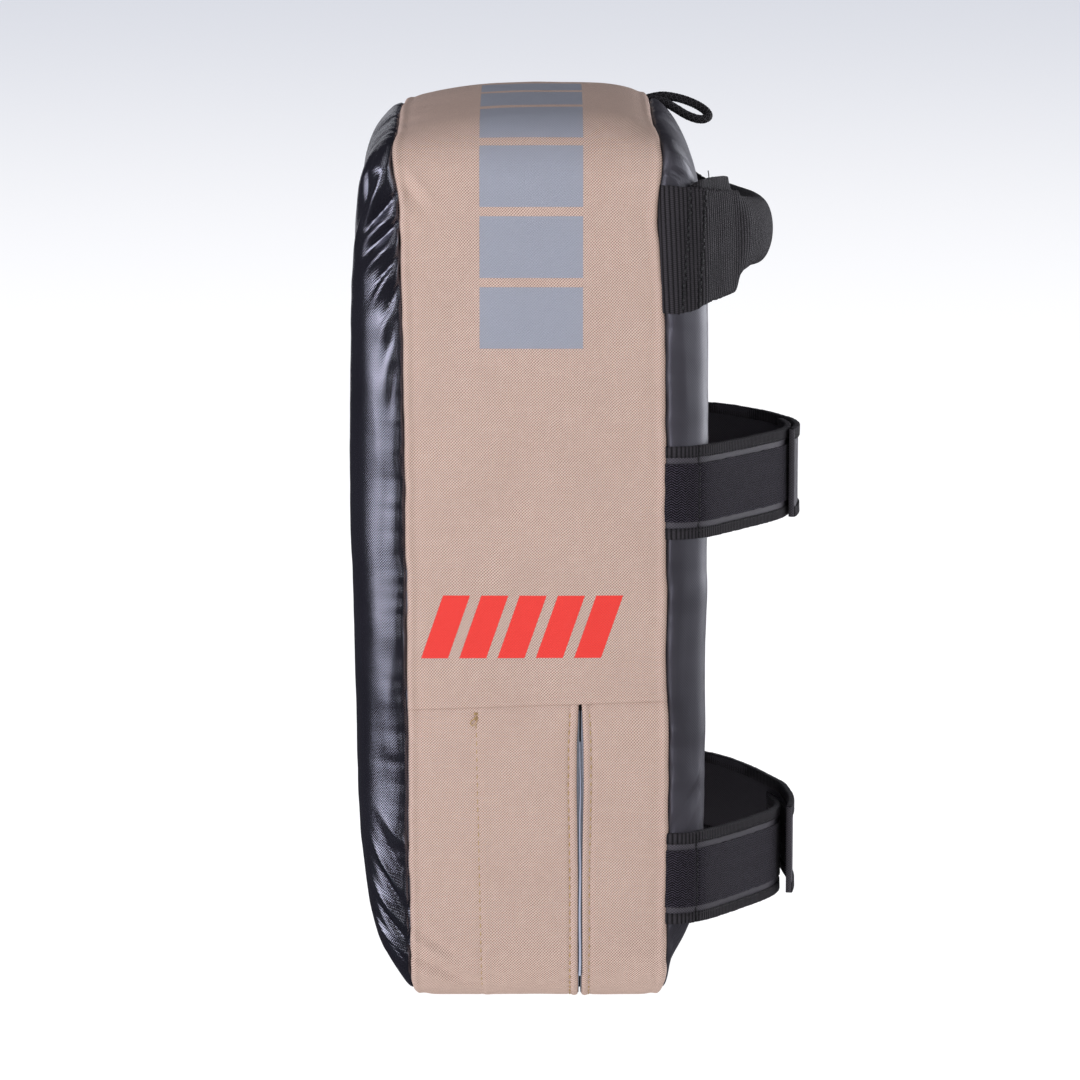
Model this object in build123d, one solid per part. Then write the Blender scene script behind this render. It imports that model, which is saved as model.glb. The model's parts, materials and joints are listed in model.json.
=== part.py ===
from build123d import *
import math
import os

# Kick shield: a foam pad in a vinyl and woven cover, with two hook-and-loop arm
# straps, a padded hand grip and a cord hanging loop on its back.
# Frame: +Z up the height, strike face towards -Y, straps towards +Y, width along X.
# Origin: middle of the flat bottom face of the side band.  Millimetres.

os.makedirs("parts", exist_ok=True)

# ---------------------------------------------------------------- driving dimensions
WIDTH = 320.0            # across X
HEIGHT = 615.0           # to the crown of the top
SEAM_F, SEAM_B = -86.0, 86.0   # seam planes between the covers and the side band
STRIKE_Y, BACK_Y = -127.0, 116.5   # crowns of the strike face and of the back
R_FRONT, R_BACK = 37.0, 28.0   # side rounding of the two covers
R_BOTTOM, R_TOP = 40.0, 45.0   # corners of the front outline
TOP_ARC = 494.0          # radius of the crowned top
COVER_T = 1.4            # cover fabric
POCKET_Z = 207.0         # cross seam above the zipped lower section
ZIP_Y = 29.5             # centre of the zip
SLIT, SLIT_FAR = 1.6, 4.8      # half width of the zip slit, and on the slider's run
COIL_GAP, COIL_W, TAPE_W = 0.6, 2.0, 13.0
BAND_T, TAPE_T, BIND_T = 2.8, 1.5, 0.6   # strap webbing, hook/loop tape, edge binding
BIND_W = 7.5             # binding width on each face
OVER, OVER_LOW = 6.2, 8.0   # inner face of the outer strap half above the inner half's
MID_Z = (313.0, 375.0)   # middle arm strap, low and high edge
LOW_Z = (57.0, 119.0)    # lower arm strap
LOW_SCALE = 0.92         # lower arch height against the middle one
LOW_DROOP_NEAR, LOW_DROOP_FAR = 4.5, 2.5   # sag of the lower strap's halves, degrees
GRIP_Z = (467.0, 551.0)  # grip webbing at its ends
CORD_D = 5.6             # hanging loop cord
SLIDER_Z = 186.0         # slider at its closed end
X_SIDE = WIDTH / 2


def arc(a, m, b):
    return ThreePointArc(a, m, b)


def corner_points(cx, cy, r, a0, a1):
    """Start, middle and end of an arc given in degrees."""
    return [
        (cx + r * math.cos(math.radians(a)), cy + r * math.sin(math.radians(a)))
        for a in (a0, (a0 + a1) / 2, a1)
    ]


def xz_face(d):
    """Front outline, inset by d: flat base, round lower corners, crowned top."""
    w = X_SIDE
    br = corner_points(w - R_BOTTOM, R_BOTTOM, R_BOTTOM - d, -90, 0)
    tr = corner_points(w - R_TOP, 555.0, R_TOP - d, 0, 75)
    tl = [(-x, y) for x, y in reversed(tr)]
    bl = [(-x, y) for x, y in reversed(br)]
    edges = [
        Line(bl[-1], br[0]), arc(*br), Line(br[-1], tr[0]), arc(*tr),
        arc(tr[-1], (0, HEIGHT - d), tl[0]), arc(*tl), Line(tl[-1], bl[0]), arc(*bl),
    ]
    return make_face(edges)


def xy_face(d):
    """Plan outline, inset by d: straight sides, rounded and slightly crowned covers."""
    w = X_SIDE
    f = corner_points(w - R_FRONT, SEAM_F - 2, R_FRONT - d, 0, -88)
    b = corner_points(w - R_BACK, SEAM_B, R_BACK - d, 88, 0)
    fl = [(-x, y) for x, y in reversed(f)]
    bl = [(-x, y) for x, y in reversed(b)]
    edges = [
        arc(*f), arc(f[-1], (0, STRIKE_Y + d), fl[0]), arc(*fl), Line(fl[-1], bl[0]),
        arc(*bl), arc(bl[-1], (0, BACK_Y - d), b[0]), arc(*b), Line(b[-1], f[0]),
    ]
    return make_face(edges)


SIDE_ARCS = [  # side outline (Y, Z) as arcs, going round from the base's front end
    ((-70, 0), None, (74, 0)),
    ((74, 0), (81, 1.8), (86, 6.5)),
    ((86, 6.5), (94, 38), (105, 66)),
    ((105, 66), (111, 108), (114, 160)),
    ((114, 160), (116, 260), (116.5, 380)),
    ((116.5, 380), (115.8, 470), (112, 545)),
    ((112, 545), (105, 574), (93, 596)),
    ((93, 596), (80, 606), (62, 612)),
    ((62, 612), (30, 615), (0, 615)),
    ((0, 615), (-50, 611.5), (-93, 601.5)),
    ((-93, 601.5), (-105, 594), (-112.5, 582)),
    ((-112.5, 582), (-119.5, 548), (-124.5, 500)),
    ((-124.5, 500), (-126.8, 440), (-127, 385)),
    ((-127, 385), (-125.5, 300), (-122.5, 215)),
    ((-122.5, 215), (-121, 150), (-117.5, 105)),
    ((-117.5, 105), (-110.5, 62), (-99, 32)),
    ((-99, 32), (-92.5, 17), (-86, 7)),
    ((-86, 7), (-79, 2), (-70, 0)),
]


def yz_face(d):
    """Side outline, inset by d: every arc point moves inwards along its own normal."""
    points = []
    for a, m, _ in SIDE_ARCS:
        points.append(a)
        if m is not None:
            points.append(m)
    count = len(points)
    moved = []
    for i, (y, z) in enumerate(points):
        (ya, za), (yb, zb) = points[i - 1], points[(i + 1) % count]
        la, lb = math.hypot(y - ya, z - za), math.hypot(yb - y, zb - z)
        ty, tz = (y - ya) / la + (yb - y) / lb, (z - za) / la + (zb - z) / lb
        flat = z == 0
        size = math.hypot(ty, tz)
        ny, nz = (0, 1) if flat else (-tz / size, ty / size)
        moved.append((y + ny * d, z + nz * d))
    edges, i = [], 0
    for _, m, _ in SIDE_ARCS:
        if m is None:
            edges.append(Line(moved[i], moved[(i + 1) % count]))
            i += 1
        else:
            edges.append(arc(moved[i], moved[i + 1], moved[(i + 2) % count]))
            i += 2
    return make_face(edges)


def pad(d):
    """The stuffed pad's outer solid, inset by d."""
    front = extrude(Plane.XZ * xz_face(d), 200, both=True)
    plan = extrude(Plane.XY * xy_face(d), 700)
    side = extrude(Plane.YZ * yz_face(d), 200, both=True)
    return front & plan & side


def block(x0, x1, y0, y1, z0, z1):
    return Pos((x0 + x1) / 2, (y0 + y1) / 2, (z0 + z1) / 2) * Box(x1 - x0, y1 - y0, z1 - z0)


def u_band(a, b, y0, y1, top):
    """A strip between two insets of the front outline, from one side round the base."""
    ring = Plane.XZ * (xz_face(a) - xz_face(b))
    solid = extrude(ring, 200, both=True)
    return solid & block(-400, 400, y0, y1, -10, top)


def save(shape, name):
    shape.label = name
    export_step(shape, os.path.join("parts", name + ".step"))
    print(name, round(shape.volume), "mm3")


# ---------------------------------------------------------------- covers and side band
outer, inner = pad(0), pad(COVER_T)
shell = outer - inner
save(shell & block(-400, 400, -300, SEAM_F, -10, 900), "strike_cover")
save(shell & block(-400, 400, SEAM_B, 300, -10, 900), "back_cover")
band = shell & block(-400, 400, SEAM_F, SEAM_B, -10, 900)
save(band & block(-400, 400, -300, 300, POCKET_Z, 900), "gusset_upper")
lower = band & block(-400, 400, -300, 300, -10, POCKET_Z)
slit = block(-400, 400, ZIP_Y - SLIT, ZIP_Y + SLIT, -10, 400) + block(
    -400, -130, ZIP_Y - SLIT_FAR, ZIP_Y + SLIT_FAR, 42, 200
)
lower = lower - slit
save(lower & block(-400, 400, -300, ZIP_Y, -10, 400), "gusset_lower_front")
save(lower & block(-400, 400, ZIP_Y, 300, -10, 400), "gusset_lower_back")

# ---------------------------------------------------------------- zip
tape_a, tape_b = COVER_T + 0.05, COVER_T + 0.65
first = COIL_GAP + COIL_W + 0.05
save(u_band(tape_a, tape_b, ZIP_Y - TAPE_W, ZIP_Y - first, 205), "zip_tape_front")
save(u_band(tape_a, tape_b, ZIP_Y + first, ZIP_Y + TAPE_W, 205), "zip_tape_back")
save(u_band(1.5, 3.3, ZIP_Y - COIL_GAP - COIL_W, ZIP_Y - COIL_GAP, 202), "zip_coil_front")
save(u_band(1.5, 3.3, ZIP_Y + COIL_GAP, ZIP_Y + COIL_GAP + COIL_W, 202), "zip_coil_back")
save(u_band(5.1, 5.9, -38, 60, 206), "zip_guard_flap")

xs = -X_SIDE
slider = (
    block(xs - 1.6, xs + 1.2, ZIP_Y - 4.3, ZIP_Y + 4.3, SLIDER_Z - 5.5, SLIDER_Z + 5.5)
    + block(xs + 3.6, xs + 4.6, ZIP_Y - 4.1, ZIP_Y + 4.1, SLIDER_Z - 5.5, SLIDER_Z + 5.5)
    + block(xs + 1.0, xs + 3.8, ZIP_Y - 0.4, ZIP_Y + 0.4, SLIDER_Z + 1, SLIDER_Z + 5.5)
)
lug = block(xs - 5.6, xs - 1.5, ZIP_Y - 1.2, ZIP_Y + 1.2, SLIDER_Z - 4, SLIDER_Z + 4.5)
pin_x, pin_z = xs - 3.6, SLIDER_Z + 1.6
hole = Pos(pin_x, ZIP_Y, pin_z) * Rot(90, 0, 0) * Cylinder(1.25, 6)
save(slider + lug - hole, "zip_slider")
pull = block(pin_x - 0.8, pin_x + 0.8, ZIP_Y - 3.6, ZIP_Y + 3.6, pin_z - 27, pin_z + 1.6)
window = block(pin_x - 3, pin_x + 3, ZIP_Y - 1.7, ZIP_Y + 1.7, pin_z - 8.5, pin_z + 9)
eye = block(pin_x - 3, pin_x + 3, ZIP_Y - 1.6, ZIP_Y + 1.6, pin_z - 23.5, pin_z - 20)
pin = Pos(pin_x, ZIP_Y, pin_z) * Rot(90, 0, 0) * Cylinder(1.15, 7.2)
save(pull - window - eye + pin, "zip_puller")

# ---------------------------------------------------------------- foam
stuffing = pad(COVER_T + 0.4)
save(stuffing & block(-400, 400, -300, SEAM_F - 3.2, -10, 900), "foam_strike_layer")
save(stuffing & block(-400, 400, SEAM_B + 3.2, 300, -10, 900), "foam_back_layer")
core = stuffing & block(-400, 400, SEAM_F - 3, SEAM_B + 3, -10, 900)
save(core - u_band(-2, 6.2, -42, 64, 212), "foam_core_block")

# ---------------------------------------------------------------- arm straps
SX, SY = 149.5, 107.86          # stitch line on the back cover's corner
NX, NY = 0.625, 0.781           # outward normal there
START = (SX + NX * 0.9, SY + NY * 0.9)


def scaled(points, k):
    """Arch points with their height above the stitch line scaled."""
    return [(x, START[1] + (y - START[1]) * k) for x, y in points]


NEAR_IN = [START, (137.5, 116.6), (110, 126.0), (76, 139.0), (48, 153.0), (22, 167.5),
           (0, 173.8), (-20, 174.6), (-40, 172.0)]
FAR_ROOT = [(-START[0], START[1]), (-135, 127.0), (-100, 153.5), (-66, 171.0)]


def side_points(edge, t, u0, u1, n, turn):
    """Points at distance t from an edge, on the side that turn says."""
    out = []
    for i in range(n + 1):
        u = u0 + (u1 - u0) * i / n
        p, v = edge @ u, edge % u
        out.append((p.X + turn * v.Y * t, p.Y - turn * v.X * t))
    return out


def ribbon(edge, t0, t1, u0, u1, turn, z0, z1, n=20):
    a = side_points(edge, t0, u0, u1, n, turn)
    b = side_points(edge, t1, u0, u1, n, turn)
    face = make_face([Spline(a), Line(a[-1], b[-1]), Spline(b), Line(b[0], a[0])])
    return Pos(0, 0, z0) * extrude(Plane.XY * face, z1 - z0)


def strap_half(edge, turn, z0, z1, tape_in, tape_u):
    """Webbing band, the binding folded over its two edges, and its fastener tape."""
    band = ribbon(edge, 0, BAND_T, 0, 1, turn, z0 + BIND_T, z1 - BIND_T)
    bind = None
    for low, high in ((z0, z0 + BIND_W), (z1 - BIND_W, z1)):
        edge_solid = ribbon(edge, -BIND_T, BAND_T + BIND_T, 0.006, 0.998, turn, low, high)
        edge_solid = edge_solid - band
        bind = edge_solid if bind is None else bind + edge_solid
    t0, t1 = (-TAPE_T, -0.12) if tape_in else (BAND_T + 0.12, BAND_T + TAPE_T)
    tape = ribbon(edge, t0, t1, *tape_u, turn, z0 + 11.5, z1 - 11.5)
    return band, bind, tape


clear = pad(-0.3)
room = block(-SX - 2.7, SX + 2.7, 0, 400, -10, 900)


def strap(name, z0, z1, k, over_by, droop_near, droop_far):
    near = Spline(scaled(NEAR_IN, k))
    # The outer half follows the inner half where they overlap, and its own arch beyond.
    over = side_points(near, over_by, 0.62, 1.0, 8, 1)
    over = [p for p in over if -42 < p[0] < 40]
    far = Spline(scaled(FAR_ROOT, k) + sorted(over))
    for half, edge, turn, tape_in, tape_u, tilt, x_root in (
        ("loop", near, 1, False, (0.03, 0.99), droop_near, START[0]),
        ("hook", far, -1, True, (0.56, 0.985), -droop_far, -START[0]),
    ):
        pieces = strap_half(edge, turn, z0, z1, tape_in, tape_u)
        for piece, kind in zip(pieces, ("band", "binding", "tape")):
            if tilt:
                at = Pos(x_root, 0, (z0 + z1) / 2)
                piece = at * Rot(0, tilt * -1, 0) * at.inverse() * piece
            piece = (piece & room) - clear
            save(piece, f"{name}_{half}_{kind}")
    return near, far


def anchor(side, z0, z1, t, x_end=SX + 3.4):
    """Strap end sewn to the back from the side seam to the stitch line."""
    ring = xy_face(-0.15 - t) - xy_face(-0.15)
    solid = Pos(0, 0, z0) * extrude(Plane.XY * ring, z1 - z0)
    corner = block(x_end, 400, SEAM_B - 1.5, 400, z0 - 1, z1 + 1)
    solid = solid & corner
    return solid if side > 0 else mirror(solid, about=Plane.YZ)


strap("mid", *MID_Z, 1.0, OVER, 0.0, 0.0)
strap("low", *LOW_Z, LOW_SCALE, OVER_LOW, LOW_DROOP_NEAR, LOW_DROOP_FAR)
for label, (z0, z1) in (("mid", MID_Z), ("low", LOW_Z)):
    save(anchor(1, z0, z1, 2.8), f"{label}_anchor_near")
    save(anchor(-1, z0, z1, 2.8), f"{label}_anchor_far")

# ---------------------------------------------------------------- hand grip
GRIP = [  # x, y of the centre, half height, half thickness, height of the centre
    (149.3, 110.0, 41.0, 1.3, 509.0), (126, 121.5, 38.0, 2.6, 509.5),
    (98, 136.5, 30.5, 7.5, 511.5), (60, 148.5, 26.5, 10.4, 513.3), (0, 152.3, 25.5, 11.2, 514.0),
]


def grip_loft(stations, shrink):
    full = stations + [(-x, y, a, b, z) for x, y, a, b, z in reversed(stations[:-1])]
    sections = []
    for i, (x, y, a, b, z) in enumerate(full):
        before, after = full[max(i - 1, 0)], full[min(i + 1, len(full) - 1)]
        run = Vector(after[0] - before[0], after[1] - before[1], 0).normalized()
        plane = Plane(origin=(x, y, z), x_dir=(0, 0, 1), z_dir=run)
        sections.append(plane * Ellipse(a - shrink, b - shrink))
    return loft(sections)


GRIP_SWING_X = 106.0     # the roll swings between these, and the flat webbing ends stay
cover = grip_loft(GRIP, 0.0) - clear
cavity = grip_loft([(92, 139.0, 25.0, 6.0, 512.0)] + GRIP[3:], 1.5)
fill = grip_loft([(92, 139.0, 25.0, 6.0, 512.0)] + GRIP[3:], 1.7)
roll = block(-GRIP_SWING_X, GRIP_SWING_X, 0, 300, 400, 600)
save((cover & roll) - cavity, "grip_cover")
save(fill, "grip_foam_core")
for side, where in ((1, "near"), (-1, "far")):
    xa, xb = sorted((side * (GRIP_SWING_X + 0.5), side * 148.0))
    free = cover & block(xa, xb, 0, 300, 400, 600)
    save(free + anchor(side, *GRIP_Z, 2.6, 147.0), f"grip_webbing_{where}")

# ---------------------------------------------------------------- hanging loop cord
ROUTE = [
    (-4.6, 73, 602.5), (-5.4, 84, 606.0), (-6.2, 95, 605.0), (-6.2, 106, 602.0),
    (-4.6, 116, 597.0), (0.4, 120.6, 591.6), (5.2, 114.6, 588.9), (6.4, 104.5, 592.0),
    (6.2, 95.5, 597.8), (5.4, 85, 603.6), (4.6, 73.5, 603.0),
]


def corner_radii(points):
    radii = []
    for a, b, c in zip(points, points[1:], points[2:]):
        u, v = Vector(b) - Vector(a), Vector(c) - Vector(b)
        half = math.radians(u.get_angle(v)) / 2
        radii.append(0.45 * min(u.length, v.length) / math.tan(half))
    return radii


radii = corner_radii(ROUTE)
print("cord radii", [round(r, 1) for r in radii])
path = FilletPolyline(*ROUTE, radius=radii)
profile = Plane(origin=path @ 0, z_dir=path % 0) * Circle(CORD_D / 2)
tube = sweep(profile, path=path)
print("cord", round(path.length, 1), "mm; volume", round(tube.volume),
      "against", round(math.pi * CORD_D**2 / 4 * path.length))
save(tube - pad(-0.15) - block(-20, 20, 0, 83.5, 500, 700), "hanging_cord")
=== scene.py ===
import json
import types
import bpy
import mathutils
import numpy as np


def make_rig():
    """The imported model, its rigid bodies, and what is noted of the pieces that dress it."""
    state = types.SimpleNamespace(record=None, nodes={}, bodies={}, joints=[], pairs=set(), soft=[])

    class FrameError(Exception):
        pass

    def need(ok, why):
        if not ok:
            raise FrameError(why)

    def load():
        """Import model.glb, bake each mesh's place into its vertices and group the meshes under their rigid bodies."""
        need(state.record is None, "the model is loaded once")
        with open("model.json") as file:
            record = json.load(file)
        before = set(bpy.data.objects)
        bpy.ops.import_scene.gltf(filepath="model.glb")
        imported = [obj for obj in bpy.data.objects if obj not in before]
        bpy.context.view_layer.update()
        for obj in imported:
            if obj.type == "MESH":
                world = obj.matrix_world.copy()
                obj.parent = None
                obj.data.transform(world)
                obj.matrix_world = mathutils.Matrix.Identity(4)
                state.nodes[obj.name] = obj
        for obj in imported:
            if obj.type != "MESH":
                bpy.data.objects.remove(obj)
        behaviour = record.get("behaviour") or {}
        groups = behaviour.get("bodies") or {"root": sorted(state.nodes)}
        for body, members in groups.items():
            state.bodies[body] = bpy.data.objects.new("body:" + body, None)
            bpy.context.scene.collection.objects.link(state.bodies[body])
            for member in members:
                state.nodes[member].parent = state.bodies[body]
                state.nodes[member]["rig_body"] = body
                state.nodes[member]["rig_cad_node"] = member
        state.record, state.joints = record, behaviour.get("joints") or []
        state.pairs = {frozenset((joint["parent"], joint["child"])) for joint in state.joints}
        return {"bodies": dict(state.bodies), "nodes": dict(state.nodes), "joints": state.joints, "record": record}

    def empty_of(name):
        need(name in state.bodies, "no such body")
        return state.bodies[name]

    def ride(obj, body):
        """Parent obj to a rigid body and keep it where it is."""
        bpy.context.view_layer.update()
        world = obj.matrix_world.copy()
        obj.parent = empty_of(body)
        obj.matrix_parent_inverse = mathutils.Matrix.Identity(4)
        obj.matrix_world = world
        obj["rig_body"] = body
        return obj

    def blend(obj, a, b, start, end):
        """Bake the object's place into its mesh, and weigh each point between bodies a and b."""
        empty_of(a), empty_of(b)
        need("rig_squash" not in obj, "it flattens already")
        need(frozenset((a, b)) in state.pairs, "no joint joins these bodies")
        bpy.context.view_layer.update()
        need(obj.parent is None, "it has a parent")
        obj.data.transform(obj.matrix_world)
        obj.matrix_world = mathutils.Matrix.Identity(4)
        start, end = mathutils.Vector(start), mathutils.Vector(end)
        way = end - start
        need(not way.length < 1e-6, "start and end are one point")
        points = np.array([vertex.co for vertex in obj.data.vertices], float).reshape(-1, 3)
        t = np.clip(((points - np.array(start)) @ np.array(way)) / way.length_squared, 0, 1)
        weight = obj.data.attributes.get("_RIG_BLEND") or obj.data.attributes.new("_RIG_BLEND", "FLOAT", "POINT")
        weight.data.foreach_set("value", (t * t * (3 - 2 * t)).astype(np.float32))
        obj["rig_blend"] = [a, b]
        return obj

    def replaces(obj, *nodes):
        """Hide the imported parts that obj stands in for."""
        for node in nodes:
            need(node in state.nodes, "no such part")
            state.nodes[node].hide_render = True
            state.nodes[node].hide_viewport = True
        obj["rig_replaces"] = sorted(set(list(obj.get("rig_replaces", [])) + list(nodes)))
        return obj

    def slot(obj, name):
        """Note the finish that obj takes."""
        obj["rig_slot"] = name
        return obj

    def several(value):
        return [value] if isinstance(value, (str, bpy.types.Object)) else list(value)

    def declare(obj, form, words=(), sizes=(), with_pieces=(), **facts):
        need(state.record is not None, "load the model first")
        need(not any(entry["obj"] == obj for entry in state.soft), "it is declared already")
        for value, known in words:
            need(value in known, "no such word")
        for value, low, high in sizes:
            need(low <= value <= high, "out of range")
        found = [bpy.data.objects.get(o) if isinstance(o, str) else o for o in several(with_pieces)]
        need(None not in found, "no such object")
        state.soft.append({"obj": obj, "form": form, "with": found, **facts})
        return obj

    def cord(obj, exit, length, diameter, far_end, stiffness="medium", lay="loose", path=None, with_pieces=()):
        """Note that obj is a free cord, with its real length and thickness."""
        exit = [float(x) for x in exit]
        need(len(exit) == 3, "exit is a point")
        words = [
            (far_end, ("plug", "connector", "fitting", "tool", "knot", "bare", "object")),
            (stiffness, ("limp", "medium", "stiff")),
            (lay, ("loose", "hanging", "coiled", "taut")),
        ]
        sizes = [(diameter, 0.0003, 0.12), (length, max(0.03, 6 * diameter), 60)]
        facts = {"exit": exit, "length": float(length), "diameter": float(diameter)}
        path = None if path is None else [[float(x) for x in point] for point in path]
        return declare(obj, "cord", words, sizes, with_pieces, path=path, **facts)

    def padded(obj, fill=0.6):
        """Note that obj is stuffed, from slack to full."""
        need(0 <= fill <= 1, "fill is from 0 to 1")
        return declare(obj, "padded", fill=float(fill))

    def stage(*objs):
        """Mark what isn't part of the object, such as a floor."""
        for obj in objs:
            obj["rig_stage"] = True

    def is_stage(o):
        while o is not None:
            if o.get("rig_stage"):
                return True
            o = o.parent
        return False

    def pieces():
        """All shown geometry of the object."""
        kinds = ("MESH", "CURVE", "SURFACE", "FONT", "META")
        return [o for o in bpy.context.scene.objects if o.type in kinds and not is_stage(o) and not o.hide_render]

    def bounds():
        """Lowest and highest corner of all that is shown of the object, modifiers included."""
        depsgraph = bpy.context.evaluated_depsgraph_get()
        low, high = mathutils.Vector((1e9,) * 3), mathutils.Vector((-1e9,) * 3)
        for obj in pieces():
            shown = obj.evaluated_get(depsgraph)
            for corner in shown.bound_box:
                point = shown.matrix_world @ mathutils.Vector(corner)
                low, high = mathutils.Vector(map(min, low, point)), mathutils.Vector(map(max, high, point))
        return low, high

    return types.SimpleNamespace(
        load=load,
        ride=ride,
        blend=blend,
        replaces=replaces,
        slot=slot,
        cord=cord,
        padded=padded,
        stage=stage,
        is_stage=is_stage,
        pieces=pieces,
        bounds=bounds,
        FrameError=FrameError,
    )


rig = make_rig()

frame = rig.load()
import json
import math

import bpy
import numpy as np
from mathutils import Vector

CAD_BOX = [[float(x) for x in c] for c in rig.bounds()]
MM = 0.001

# The kick shield's looks. Lengths inside the shape functions are millimetres, in the
# frame of the CAD: +X near side, -Y strike face, +Y straps, +Z up.
SEAM_F, SEAM_B = -86.0, 86.0
HALF_W, TOP_Z = 160.0, 615.0
POCKET_Z = 207.0
ZIP_Y = 29.5


# ------------------------------------------------------------------ small tools
def smooth(x, a, b):
    t = np.clip((np.asarray(x, float) - a) / (b - a), 0.0, 1.0)
    return t * t * (3 - 2 * t)


def lerp_table(x, table):
    xs, ys = zip(*table)
    return np.interp(x, xs, ys)


def soft_table(x, table, width=9.0):
    """A table read through a short smoothing, so that it has no corners."""
    total = 0.0
    for k in (-1.0, -0.5, 0.0, 0.5, 1.0):
        total = total + lerp_table(np.asarray(x, float) + k * width, table)
    return total / 5.0


class Noise:
    """Smooth seeded value noise over one or two coordinates, from -1 to 1."""

    def __init__(self, seed):
        self.grid = np.random.RandomState(seed).uniform(-1, 1, (64, 64))

    def __call__(self, u, v=0.0):
        u, v = np.broadcast_arrays(np.asarray(u, float), np.asarray(v, float))
        iu, iv = np.floor(u).astype(int), np.floor(v).astype(int)
        fu, fv = u - iu, v - iv
        fu, fv = fu * fu * (3 - 2 * fu), fv * fv * (3 - 2 * fv)
        g = self.grid
        a, b = g[iu % 64, iv % 64], g[(iu + 1) % 64, iv % 64]
        c, d = g[iu % 64, (iv + 1) % 64], g[(iu + 1) % 64, (iv + 1) % 64]
        return (a * (1 - fu) + b * fu) * (1 - fv) + (c * (1 - fu) + d * fu) * fv


def fractal(seed, u, v=0.0, octaves=3):
    total, scale, norm = 0.0, 1.0, 0.0
    for k in range(octaves):
        total = total + Noise(seed + 17 * k)(np.asarray(u) * 2**k, np.asarray(v) * 2**k) * scale
        norm += scale
        scale *= 0.5
    return total / norm


def cubic(points, count):
    """Natural cubic spline through points, evenly spaced by length."""
    p = np.array(points, float)
    t = np.concatenate([[0], np.cumsum(np.linalg.norm(np.diff(p, axis=0), axis=1) ** 0.7)])
    n = len(p)
    h = np.diff(t)
    A, R = np.eye(n), np.zeros_like(p)
    for i in range(1, n - 1):
        A[i, i - 1], A[i, i], A[i, i + 1] = h[i - 1], 2 * (h[i - 1] + h[i]), h[i]
        R[i] = 6 * ((p[i + 1] - p[i]) / h[i] - (p[i] - p[i - 1]) / h[i - 1])
    M = np.linalg.solve(A, R)

    def at(x):
        i = np.clip(np.searchsorted(t, x) - 1, 0, n - 2)
        d0, d1, hh = (x - t[i])[:, None], (t[i + 1] - x)[:, None], h[i][:, None]
        return (
            M[i] * d1**3 / (6 * hh) + M[i + 1] * d0**3 / (6 * hh)
            + (p[i] / hh - M[i] * hh / 6) * d1 + (p[i + 1] / hh - M[i + 1] * hh / 6) * d0
        )

    fine = np.linspace(0, t[-1], 2000)
    q = at(fine)
    length = np.concatenate([[0], np.cumsum(np.linalg.norm(np.diff(q, axis=0), axis=1))])
    even = np.interp(np.linspace(0, length[-1], count), length, fine)
    return at(even), np.linspace(0, length[-1], count)


def tangents(p):
    t = np.gradient(p, axis=0)
    return t / np.linalg.norm(t, axis=1)[:, None]


def grid_faces(rows, cols, wrap_cols=False, wrap_rows=False):
    r = np.arange(rows if wrap_rows else rows - 1)
    c = np.arange(cols if wrap_cols else cols - 1)
    R, C = np.meshgrid(r, c, indexing="ij")
    R1, C1 = (R + 1) % rows, (C + 1) % cols
    return np.stack([R * cols + C, R * cols + C1, R1 * cols + C1, R1 * cols + C], -1).reshape(-1, 4)


def make(name, verts, faces, uv=None, material=None, smooth_shade=True, masks=None):
    """verts in millimetres; faces an array of quads or a list; uv per vertex in millimetres."""
    me = bpy.data.meshes.new(name)
    me.from_pydata((np.asarray(verts, float) * MM).tolist(), [], [list(map(int, f)) for f in faces])
    me.update()
    if uv is not None:
        layer = me.uv_layers.new(name="UVMap")
        loops = np.zeros(len(me.loops), int)
        me.loops.foreach_get("vertex_index", loops)
        layer.data.foreach_set("uv", (np.asarray(uv, float) * MM)[loops].reshape(-1))
    for key, values in (masks or {}).items():
        a = me.attributes.new(key, "FLOAT", "POINT")
        a.data.foreach_set("value", np.asarray(values, np.float32))
    ob = bpy.data.objects.new(name, me)
    bpy.context.scene.collection.objects.link(ob)
    if smooth_shade:
        me.polygons.foreach_set("use_smooth", [True] * len(me.polygons))
    if material:
        me.materials.append(material)
    return ob


def grid_normals(P):
    """Unit normals of a grid of points, rows x cols x 3."""
    du = np.gradient(P, axis=0)
    dv = np.gradient(P, axis=1)
    n = np.cross(du, dv)
    size = np.linalg.norm(n, axis=2)[..., None]
    return n / np.maximum(size, 1e-9)


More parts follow.
